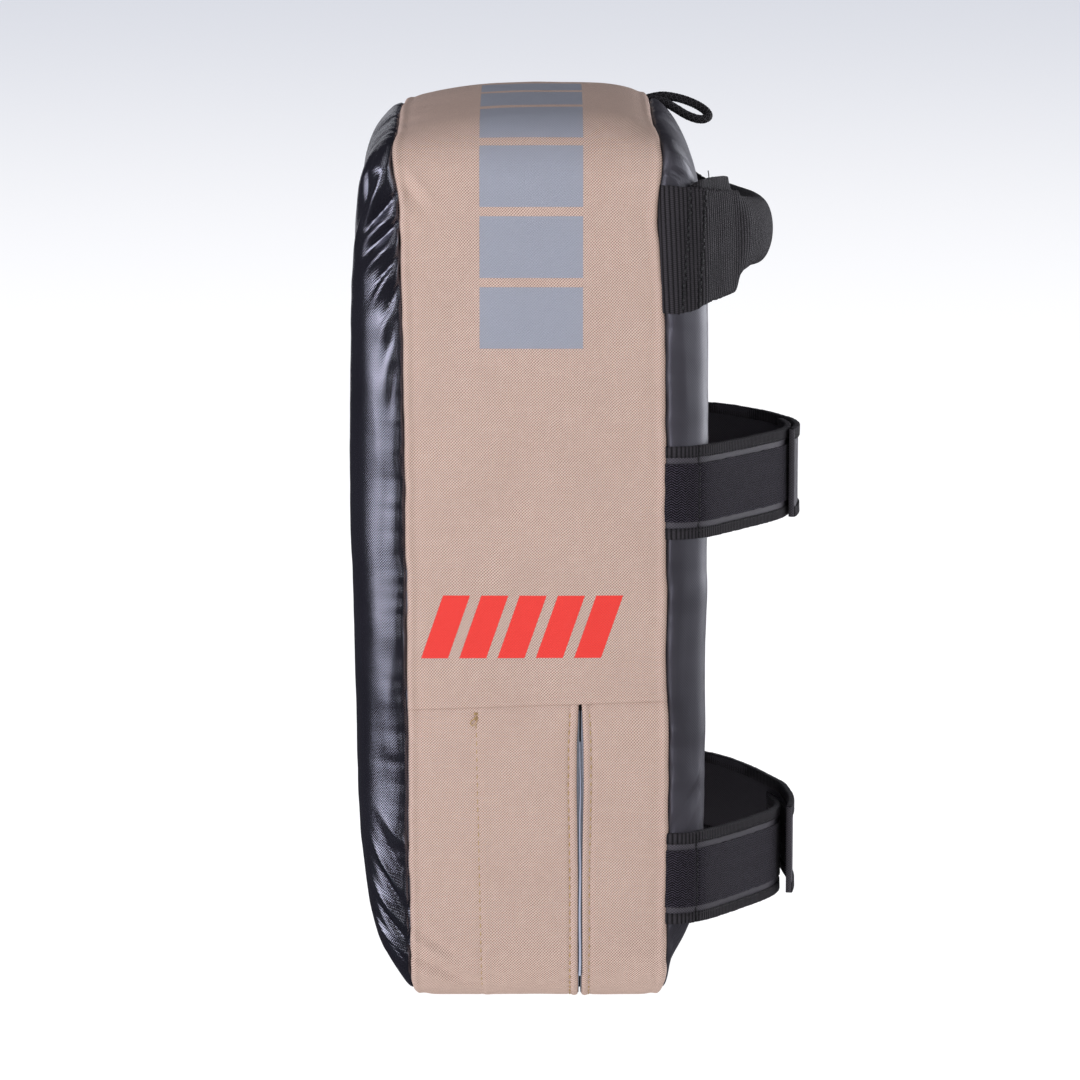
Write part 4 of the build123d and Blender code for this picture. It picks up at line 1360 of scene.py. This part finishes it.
def binding_profile(top, h=31.0, t=2.8, width=7.5, b=0.75):
    outer = [(-b, h - width), (-b, h - width * 0.66), (-b, h - width * 0.33), (-b, h - 1.1)]
    for i in range(1, 6):
        a = math.radians(180 - 90 * i / 5)
        outer.append((0.35 + (0.35 + b) * math.cos(a) * 1.0, h - 1.1 + 1.1 * math.sin(a)))
    for i in range(1, 6):
        a = math.radians(90 - 90 * i / 5)
        outer.append((t - 0.35 + (0.35 + b) * math.cos(a), h - 1.1 + 1.1 * math.sin(a)))
    outer += [(t + b, h - width * 0.33), (t + b, h - width * 0.66), (t + b, h - width)]
    inner = [(t + 0.02, h - width + 0.3), (t + 0.02, h - 0.9), (-0.02, h - 0.9), (-0.02, h - width + 0.3)]
    prof = outer + inner
    mask = []
    for n, w in prof:
        mask.append(0 if (-0.1 < n < t + 0.1 and w < h - 0.95) else (1.0 if n > t / 2 else -1.0))
    if not top:
        prof = [(n, -w) for n, w in prof]
    return prof, mask


def end_binding(name, path, side, zm, dz, length, bend, t=2.8, b=0.62):
    """The binding where it goes round the strap's free end."""
    T, N, L = frame_of(path, side)
    prof = [(-7.5, -b), (-5.0, -b), (-2.5, -b), (-0.5, -b), (0.2, -b * 0.75), (0.6, -b * 0.2), (0.7, t / 2), (0.6, t + b * 0.2),
            (0.2, t + b * 0.75), (-0.5, t + b), (-2.5, t + b), (-5.0, t + b), (-7.5, t + b), (-7.3, t + 0.02), (-0.1, t + 0.02), (-0.1, -0.02), (-7.3, -0.02)]
    z = np.arange(-30.7, 30.75, 0.5)
    rib = 0.05 * (np.abs(np.sin(math.pi * z / 2.4)) ** 0.7 - 0.6)
    rows = []
    for du, n in prof:
        u = min(length + du, length)
        p = np.array([np.interp(u, L, path[:, j]) for j in range(3)])
        nn = np.array([np.interp(u, L, N[:, j]) for j in range(3)])
        tt = np.array([np.interp(u, L, T[:, j]) for j in range(3)])
        outer = n < -0.1 or n > t + 0.1 or du > 0
        sign = 1.0 if n > t / 2 else -1.0
        q = p + nn * n + tt * max(0.0, length + du - length)
        Q = np.repeat(q[None, :], len(z), 0) + (nn * sign)[None, :] * (rib * outer)[:, None]
        Q[:, 2] = zm + z + dz(Q[:, 0])
        rows.append(Q)
    V = np.stack(rows, 1)
    faces = [tuple(f) for f in grid_faces(V.shape[0], V.shape[1], wrap_cols=True)]
    faces += [tuple(range(V.shape[1])), tuple(range((V.shape[0] - 1) * V.shape[1], V.shape[0] * V.shape[1]))]
    uv = np.stack(np.meshgrid(z, np.linspace(0, 20, V.shape[1]), indexing="ij"), -1).reshape(-1, 2)
    ob = make(name, V.reshape(-1, 3), faces, uv, M_CLOTH)
    fix_normals(ob)
    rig.slot(ob, "strap_binding")
    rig.blend(ob, bend[0], bend[1], start=bend[2], end=bend[3])
    return ob


def build_strap(tag, k, over_by, zr, droop_near, droop_far, lifts, root_by, flare):
    near, far = strap_paths(k, over_by, root_by, flare)
    zm = (zr[0] + zr[1]) / 2
    for side, path, label, body, drop in ((1, near, "loop", f"{tag}_underlap", droop_near), (-1, far, "hook", f"{tag}_flap", droop_far)):
        length = frame_of(path, side)[2][-1]
        slope = math.tan(math.radians(drop))
        dz = (lambda x, sl=slope, sd=side, up=lifts: -sl * np.maximum(0.0, (START[0] - 2 - sd * x))
              + up[0] + (up[1] - up[0]) * smooth(sd * x, 150, 20))
        start = (side * 157.5 * MM, 97.0 * MM, zm * MM)
        end = (side * 144.0 * MM, 114.5 * MM, zm * MM)
        bend = ("shield", body, start, end)
        T, N, L = frame_of(path, side)
        us = L[np.argmin(np.hypot(path[:, 0] - side * 150.3, path[:, 1] - 107.9))] - 2.4
        sweep(f"{tag}_{label}_band_skin", path, side, rounded(0, 2.8, -30.3, 30.3, 0.5), zm, dz, 0, length, 0.9,
              M_CLOTH, bend, "strap_webbing", seed=5, uv_flat=True, dent=us)
        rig.replaces(bpy.data.objects[f"{tag}_{label}_band_skin"], f"{tag}_{label}_band", f"{tag}_anchor_{'near' if side > 0 else 'far'}")
        names = []
        for top in (True, False):
            prof, mask = binding_profile(top)
            nm = f"{tag}_{label}_binding_{'top' if top else 'bottom'}"
            ob, V, u = sweep(nm, path, side, prof, zm, dz, 0.6, length - 0.2, 0.48, M_BIND, bend, "strap_binding",
                             ribs=(2.4, 0.58, mask), jitter=0.18, seed=11 + top, dent=us)
            names.append(ob)
        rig.replaces(names[0], f"{tag}_{label}_binding")
        if side > 0:
            t0, t1, n0, n1, stop = 2.85, 4.25, 1, 1, length - 2.5
            first = 5.0
        else:
            t0, t1, stop, first = -1.45, -0.05, length - 3.0, length * 0.60
        ob, V, u = sweep(f"{tag}_{label}_tape_skin", path, side, rounded(t0, t1, -19.5, 19.5, 0.45), zm, dz, first, stop, 1.0,
                         M_PILE, bend, "fastener_tape", jitter=0.25, seed=15, uv_flat=True, dent=us)
        end_binding(f"{tag}_{label}_binding_end", path, side, zm, dz, length, bend)
        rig.replaces(ob, f"{tag}_{label}_tape")
        # the row of stitches across, where the strap is sewn to the back
        at = lambda q, uu: np.array([np.interp(uu, L, q[:, j]) for j in range(3)])
        p0, n0_ = at(path, us), at(N, us)
        w = np.linspace(-30.6, 30.6, 120)
        raise_ = np.where(np.abs(w) > 23.4, 3.25, np.where(np.abs(w) < 19.6, 3.7 if side > 0 else 2.4, 2.4))
        P = p0[None, :] + n0_[None, :] * raise_[:, None]
        P[:, 2] = zm + w + dz(P[:, 0])
        row = stitches(f"{tag}_{label}_cross_stitch", P, np.repeat(n0_[None, :], 120, 0), None, "strap_binding", M_THREAD_BLACK, 3.5, 3.3, 0.5, 0.35, seed=9)
        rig.blend(row, "shield", body, start=start, end=end)
        # rows along the inner edge of each binding
        uu = np.linspace(8.0, length - 4.0, 420)
        pp = np.stack([np.interp(uu, L, path[:, j]) for j in range(3)], -1)
        nn = np.stack([np.interp(uu, L, N[:, j]) for j in range(3)], -1)
        for j, wv in enumerate((24.9, -24.9)):
            Q = pp + nn * 3.62
            Q[:, 2] = zm + wv + dz(Q[:, 0])
            row = stitches(f"{tag}_{label}_edge_stitch_{j}", Q, nn, None, "strap_binding", M_THREAD_BLACK, 2.9, 2.1, 0.24, 0.1, seed=21 + j)
            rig.blend(row, "shield", body, start=start, end=end)


build_strap("mid", 1.0, 6.2, MID_Z, 0.0, 0.0, (4.2, 2.6), 0.0, 0.8)
build_strap("low", 0.92, 8.0, LOW_Z, 4.5, 2.5, (0.0, 0.0), 1.6, 4.0)


# ------------------------------------------------------------------ hand grip
GRIP_STATIONS = [  # x, y, half height outside, half thickness, height of centre, squareness, slot depth, inner rim rise
    (152.6, 77.5, 41.5, 1.1, 509.0, 9.0, 0.0, 0.0),
    (157.6, 81.8, 42.0, 1.3, 509.0, 9.0, 0.0, 0.0),
    (160.0, 87.0, 42.0, 1.3, 508.9, 9.0, 0.0, 0.0),
    (159.4, 92.5, 41.8, 1.4, 508.8, 9.0, 0.0, 0.0),
    (155.6, 100.8, 41.3, 1.6, 508.9, 8.0, 0.6, 0.2),
    (149.0, 109.3, 38.8, 2.3, 510.5, 6.5, 3.5, 5.2),
    (137.5, 115.4, 37.2, 3.2, 511.0, 5.5, 6.0, 7.4),
    (124.0, 122.4, 36.3, 4.2, 511.3, 4.6, 7.0, 8.6),
    (112.0, 128.2, 35.3, 4.8, 511.5, 4.2, 7.0, 9.4),
    (106.5, 131.2, 34.6, 5.6, 511.8, 4.0, 6.0, 9.2),
    (102.5, 133.4, 28.4, 6.8, 514.6, 2.8, 2.0, 3.4),
    (96.0, 136.6, 25.6, 8.0, 516.0, 2.4, 0.5, 0.3),
    (78.0, 142.6, 23.4, 9.8, 516.6, 2.1, 0.0, 0.0),
    (60.0, 147.6, 22.9, 10.7, 516.0, 2.02, 0.0, 0.0),
    (30.0, 151.4, 22.8, 11.3, 515.2, 2.0, 0.0, 0.0),
    (0.0, 152.3, 22.8, 11.4, 514.8, 2.0, 0.0, 0.0),
]


def grip_grid(side, shrink=0.0, step=0.62):
    st = np.array(GRIP_STATIONS)
    path, L = cubic([(x, y, 0) for x, y in st[:, :2]], 600)
    sl = np.array([L[np.argmin(np.hypot(path[:, 0] - x, path[:, 1] - y))] for x, y in st[:, :2]])
    u = np.arange(0, L[-1], step)
    u = np.append(u, L[-1])
    P = np.stack([np.interp(u, L, path[:, j]) for j in range(3)], -1)
    T = tangents(path)
    N = np.stack([np.interp(u, L, T[:, 1]), -np.interp(u, L, T[:, 0]), 0 * u], -1)
    N /= np.linalg.norm(N, axis=1)[:, None]
    N[-1] = (0, 1, 0)
    col = lambda j: np.interp(u, sl, st[:, j])
    h, t, zc, p, slot, rim = (col(j)[:, None] for j in range(2, 8))
    h, t = h - shrink, np.maximum(t - shrink, 0.3)
    if side < 0:
        rim, slot = rim * 0.0, slot * 0.6
    phi = np.concatenate([np.linspace(-90, 62, 42)[:-1], np.linspace(62, 118, 24)[:-1], np.linspace(118, 270, 42)[:-1]])
    a = np.radians(phi)[None, :]
    c, s_ = np.cos(a), np.sin(a)
    n = t * np.sign(c) * np.abs(c) ** (2 / p)
    w = h * np.sign(s_) * np.abs(s_) ** (2 / p)
    n0, w0 = n.copy(), w.copy()
    q = (phi[None, :] - 90) / 9.0
    w = w - slot * np.exp(-(q**2)) * (shrink == 0)
    w = w + rim * smooth(phi, 92, 104)[None, :] * smooth(phi, 200, 130)[None, :] * (shrink == 0)
    wide = np.exp(-((np.abs(phi[None, :] - 90) - 16) / 10.0) ** 2) * np.minimum(slot, 3.0) * 0.35
    n = n + wide * np.sign(c) * (shrink == 0)
    if side < 0:
        limit = lerp_table(P[:, 0], [(0, 60), (96, 60), (100, 32.0), (128, 32.5), (150, 41), (160, 42)])[:, None]
        w = np.where(w > 0, w * np.minimum(1.0, limit / h), w)
    # ribs of the webbing, clear on the flat part and faint on the roll
    if shrink == 0:
        fade = lerp_table(u, [(0, 1), (62, 1), (95, 0.45), (L[-1], 0.25)])[:, None]
        slant = w * 0.045
        rib = np.abs(np.sin(math.pi * (u[:, None] + slant) / 2.9)) ** 0.8 - 0.6
        n = n + 0.34 * rib * fade * np.sign(c) * np.minimum(1, np.abs(c) * 6)
        low = np.exp(-(((phi[None, :] + 90) / 12.0) ** 2)) + np.exp(-(((phi[None, :] - 270) / 12.0) ** 2))
        rag = 0.55 * Noise(71)(u / 1.6)[:, None] + 0.5 * Noise(72)(u / 5.0)[:, None]
        w = w + low * rag * smooth(u, 75, 55)[:, None]
        up = np.exp(-((np.abs(phi[None, :] - 90) - 14) / 10.0) ** 2)
        w = w + up * 0.45 * Noise(73)(u / 3.0)[:, None] * smooth(u, 75, 55)[:, None]
        n = n + 0.9 * Noise(74)(u[:, None] / 30.0, w / 30.0) * smooth(u, 30, 55)[:, None] * np.abs(c) * 0.7
        # pulled down along the two rows of stitches
        for us in (24.5, 36.5):
            n = n - 0.55 * np.exp(-(((u[:, None] - us - w * 0.07) / 1.5) ** 2)) * np.sign(c) * (np.abs(w) < 39)
    V = P[:, None, :] + N[:, None, :] * n[..., None]
    V[..., 2] = zc + w
    V[..., 0] *= side
    uv = np.stack([np.repeat(u[:, None], len(phi), 1) + w * 0.045, w + np.cumsum(np.abs(np.gradient(n, axis=1)), axis=1) * 0.3], -1)
    return V, uv, u, P, N


def grip_half(side, label):
    V, uv, u, P, N = grip_grid(side)
    rows, cols = V.shape[:2]
    ob = make(f"grip_webbing_skin_{label}", V.reshape(-1, 3), grid_faces(rows, cols, wrap_cols=True), uv.reshape(-1, 2), M_GRIP)
    fix_normals(ob)
    solid = ob.modifiers.new("thickness", "SOLIDIFY")
    solid.thickness, solid.offset, solid.use_rim = 0.0009, -1.0, True
    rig.slot(ob, "grip_webbing")
    start, end = (side * 151.0 * MM, 108.0 * MM, 0.51), (side * 112.0 * MM, 128.0 * MM, 0.51)
    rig.blend(ob, "shield", "grip", start=start, end=end)
    if side > 0:
        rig.replaces(ob, "grip_webbing_near", "grip_cover")
    else:
        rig.replaces(ob, "grip_webbing_far")
    for i, (us, top, bottom) in enumerate(((24.5, 40.5, -40.5), (36.5, 39.0, -39.5))):
        w = np.linspace(top, bottom, 90)
        uu = us + w * 0.07
        Q = np.stack([np.interp(uu, u, P[:, j]) for j in range(3)], -1)
        NN = np.stack([np.interp(uu, u, N[:, j]) for j in range(3)], -1)
        t = np.interp(uu, u, lerp_u(u, 3)) * (1 - (np.abs(w) / 43.0) ** 6) ** 0.3
        Q = Q + NN * (t - 0.25)[:, None]
        Q[:, 2] = np.interp(uu, u, lerp_u(u, 4)) + w
        Q[:, 0] *= side
        NN = NN * np.array([side, 1, 1])
        row = stitches(f"grip_stitch_{label}_{i}", Q, NN, None, "grip_webbing", M_THREAD_BLACK, 4.6, 4.0, 0.85, 0.35, seed=31 + i, wobble=0.5)
        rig.blend(row, "shield", "grip", start=start, end=end)


def lerp_u(u, j):
    st = np.array(GRIP_STATIONS)
    path, L = cubic([(x, y, 0) for x, y in st[:, :2]], 600)
    sl = np.array([L[np.argmin(np.hypot(path[:, 0] - x, path[:, 1] - y))] for x, y in st[:, :2]])
    return np.interp(u, sl, st[:, j])


grip_half(1, "near")
grip_half(-1, "far")


def grip_core():
    Vn, uv, u, P, N = grip_grid(1, shrink=2.4, step=3.0)
    keep = np.where(Vn[:, 0, 0] < 96)[0]
    Vn = Vn[keep]
    Vf = Vn[::-1][1:].copy()
    Vf[..., 0] *= -1
    V = np.concatenate([Vn, Vf], 0)
    rows, cols = V.shape[:2]
    faces = [tuple(f) for f in grid_faces(rows, cols, wrap_cols=True)]
    faces += [tuple(range(cols)), tuple(range((rows - 1) * cols, rows * cols))]
    ob = make("grip_core", V.reshape(-1, 3), faces, None, M_FOAM_FIRM)
    fix_normals(ob)
    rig.ride(ob, "grip"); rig.replaces(ob, "grip_foam_core"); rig.slot(ob, "foam_firm"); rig.padded(ob, fill=0.9)


grip_core()
thread_end("grip_thread_end", [(148.0, 113.0, 549.0), (147.6, 113.4, 553.0), (147.8, 113.6, 556.5), (147.4, 113.1, 560.2)], 0.35, "shield", "grip_webbing", M_THREAD_BLACK)


# ------------------------------------------------------------------ hanging loop
ROUTE = [(-4.6, 73, 602.5), (-5.4, 84, 606.0), (-6.2, 95, 605.0), (-6.2, 106, 602.0), (-4.6, 116, 597.0), (0.4, 120.6, 591.6),
         (5.2, 114.6, 588.9), (6.4, 104.5, 592.0), (6.2, 95.5, 597.8), (5.4, 85, 603.6), (4.6, 73.5, 603.0)]


def cord_line():
    cu = bpy.data.curves.new("cord_route", "CURVE")
    cu.dimensions = "3D"
    sp = cu.splines.new("NURBS")
    sp.points.add(len(ROUTE) - 1)
    for p, (x, y, z) in zip(sp.points, ROUTE):
        p.co = (x * MM, y * MM, z * MM, 1)
    sp.order_u, sp.use_endpoint_u, sp.resolution_u = 3, True, 24
    ob = bpy.data.objects.new("cord_route", cu)
    bpy.context.scene.collection.objects.link(ob)
    bpy.context.view_layer.update()
    me = bpy.data.meshes.new_from_object(ob)
    pts = np.array([v.co for v in me.vertices]) * 1000.0
    bpy.data.objects.remove(ob)
    keep = [0]
    for i in range(1, len(pts)):
        if np.linalg.norm(pts[i] - pts[keep[-1]]) > 0.25:
            keep.append(i)
    return pts[keep]


cord_pts = cord_line()


def braid():
    d = np.concatenate([[0], np.cumsum(np.linalg.norm(np.diff(cord_pts, axis=0), axis=1))])
    u = np.arange(0, d[-1], 0.30)
    P = np.stack([np.interp(u, d, cord_pts[:, j]) for j in range(3)], -1)
    kernel = np.ones(9) / 9.0
    pad_ = np.concatenate([np.repeat(P[:1], 4, 0), P, np.repeat(P[-1:], 4, 0)])
    T = tangents(np.stack([np.convolve(pad_[:, j], kernel, "valid") for j in range(3)], -1))
    side = np.cross(T[0], [0, 0, 1.0]); side /= np.linalg.norm(side)
    S_ = [side]
    for t in T[1:]:
        v = S_[-1] - t * np.dot(S_[-1], t)
        S_.append(v / np.linalg.norm(v))
    S_ = np.array(S_)
    B = np.cross(T, S_)
    th = np.linspace(0, 2 * math.pi, 44, endpoint=False)[None, :]
    U = u[:, None]
    k = math.pi / 1.9
    h1, h2 = np.abs(np.cos(4 * th + k * U)), np.abs(np.cos(4 * th - k * U))
    over = np.sin(4 * th) * np.sin(k * U)
    lift = np.where(over > 0, h1, h2) ** 0.6
    r = 2.60 + 0.46 * lift + 0.05 * Noise(91)(U, th * 3)
    V = P[:, None, :] + (S_[:, None, :] * np.cos(th)[..., None] + B[:, None, :] * np.sin(th)[..., None]) * r[..., None]
    rows, cols = V.shape[:2]
    faces = [tuple(f) for f in grid_faces(rows, cols, wrap_cols=True)]
    faces += [tuple(range(cols)), tuple(range((rows - 1) * cols, rows * cols))]
    uv = np.stack(np.meshgrid(u, np.linspace(0, 17.6, cols), indexing="ij"), -1).reshape(-1, 2)
    ob = make("hanging_loop_cord", V.reshape(-1, 3), faces, uv, M_CORD)
    fix_normals(ob)
    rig.ride(ob, "hanging_loop"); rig.replaces(ob, "hanging_cord"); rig.slot(ob, "cord")
    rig.cord(ob, exit=tuple(cord_pts[0] * MM), length=float(d[-1] * MM), diameter=0.0056, far_end="object", stiffness="medium", lay="loose",
            path=[tuple(p * MM) for p in cord_pts])


braid()


# ------------------------------------------------------------------ CAD nodes that stay
for node, material in (("zip_tape_front", M_TAPE_CAD), ("zip_tape_back", M_TAPE_CAD), ("zip_coil_front", M_COIL), ("zip_coil_back", M_COIL),
                       ("zip_guard_flap", M_LINING), ("zip_slider", M_METAL), ("zip_puller", M_METAL)):
    ob = frame["nodes"][node]
    ob.data.materials.clear()
    ob.data.materials.append(material)


# ------------------------------------------------------------------ stage and light
# The backdrop glows: painted light, brightest near the floor and dimming up the sweep, standing in for the studio light
# that falls on it
floor_mat = Tree("floor")
place = floor_mat.node("ShaderNodeTexCoord", out=3)
split = floor_mat.nt.nodes.new("ShaderNodeSeparateXYZ")
floor_mat.nt.links.new(place, split.inputs[0])
rise = floor_mat.ramp(split.outputs[2], 0.05, 0.86)
backdrop_glow = floor_mat.mix(rise, (0.96, 0.96, 0.97), (0.57, 0.59, 0.65))
floor_mat.finish((0.20, 0.20, 0.21), 0.9, Specular_IOR_Level=0.1, Emission_Strength=1.0)
floor_mat.put(floor_mat.bsdf.inputs["Emission Color"], backdrop_glow)
pts, fcs = [], []
prof = [(6.0, 0.0)] + [(-2.4 - 1.6 * math.sin(a), 1.6 - 1.6 * math.cos(a)) for a in np.linspace(0, math.pi / 2, 24)] + [(-4.0, 6.0)]
for i, (px, pz) in enumerate(prof):
    pts += [(px * 1000, -6000, pz * 1000), (px * 1000, 6000, pz * 1000)]
for i in range(len(prof) - 1):
    fcs.append((2 * i, 2 * i + 1, 2 * i + 3, 2 * i + 2))
sweep = make("backdrop", np.array(pts, float), fcs, None, floor_mat.mat)
sweep.visible_glossy = False
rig.stage(sweep)

world = bpy.data.worlds.new("world")
bpy.context.scene.world = world
world.use_nodes = True
wt = world.node_tree
wt.nodes.clear()
w_out, w_seen, w_lit, w_gloss = (wt.nodes.new(k) for k in ("ShaderNodeOutputWorld",) + ("ShaderNodeBackground",) * 3)
w_mix, w_mix2, w_ray = wt.nodes.new("ShaderNodeMixShader"), wt.nodes.new("ShaderNodeMixShader"), wt.nodes.new("ShaderNodeLightPath")
w_gloss.inputs[0].default_value, w_gloss.inputs[1].default_value = (0.80, 0.80, 1.0, 1), 0.06
w_seen.inputs[0].default_value, w_seen.inputs[1].default_value = (0.80, 0.82, 0.88, 1), 1.0
w_lit.inputs[0].default_value, w_lit.inputs[1].default_value = (0.88, 0.90, 0.97, 1), 0.12
wt.links.new(w_ray.outputs["Is Camera Ray"], w_mix.inputs[0])
wt.links.new(w_ray.outputs["Is Glossy Ray"], w_mix2.inputs[0])
wt.links.new(w_lit.outputs[0], w_mix2.inputs[1])
wt.links.new(w_gloss.outputs[0], w_mix2.inputs[2])
wt.links.new(w_mix2.outputs[0], w_mix.inputs[1])
wt.links.new(w_seen.outputs[0], w_mix.inputs[2])
wt.links.new(w_mix.outputs[0], w_out.inputs[0])


def area(name, at, to, size, size_y, power, colour=(1, 1, 1)):
    d = bpy.data.lights.new(name, "AREA")
    d.shape, d.size, d.size_y, d.energy, d.color = "RECTANGLE", size, size_y, power, colour
    o = bpy.data.objects.new(name, d)
    o.location = at
    o.rotation_euler = (Vector(to) - Vector(at)).to_track_quat("-Z", "Y").to_euler()
    bpy.context.scene.collection.objects.link(o)
    return o


area("key_top", (1.1, -0.4, 2.2), (0, 0, 0.3), 1.5, 1.1, 7)
area("front_fill", (3.3, 0.55, 1.0), (0, 0.1, 0.35), 0.7, 0.7, 8)
area("left_box", (1.42, -1.70, 0.70), (0, -0.1, 0.42), 1.7, 1.16, 35, (0.93, 0.92, 1.0))
area("left_rim", (-2.1, -0.42, 0.72), (0, -0.1, 0.40), 0.6, 1.3, 1.7, (0.93, 0.94, 1.0))
area("right_rim", (-1.15, 1.65, 0.64), (0, 0.1, 0.33), 1.5, 1.25, 24, (0.93, 0.94, 1.0))
area("right_box", (0.7, 2.0, 0.8), (0, 0.1, 0.33), 0.8, 1.7, 12, (0.96, 0.97, 1.0))
view = bpy.context.scene.view_settings
view.view_transform = "Standard"
view.look = "None"

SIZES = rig.bounds()
with open("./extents.json", "w") as f:
    json.dump({"cad": CAD_BOX, "visual": [[float(x) for x in c] for c in SIZES]}, f)
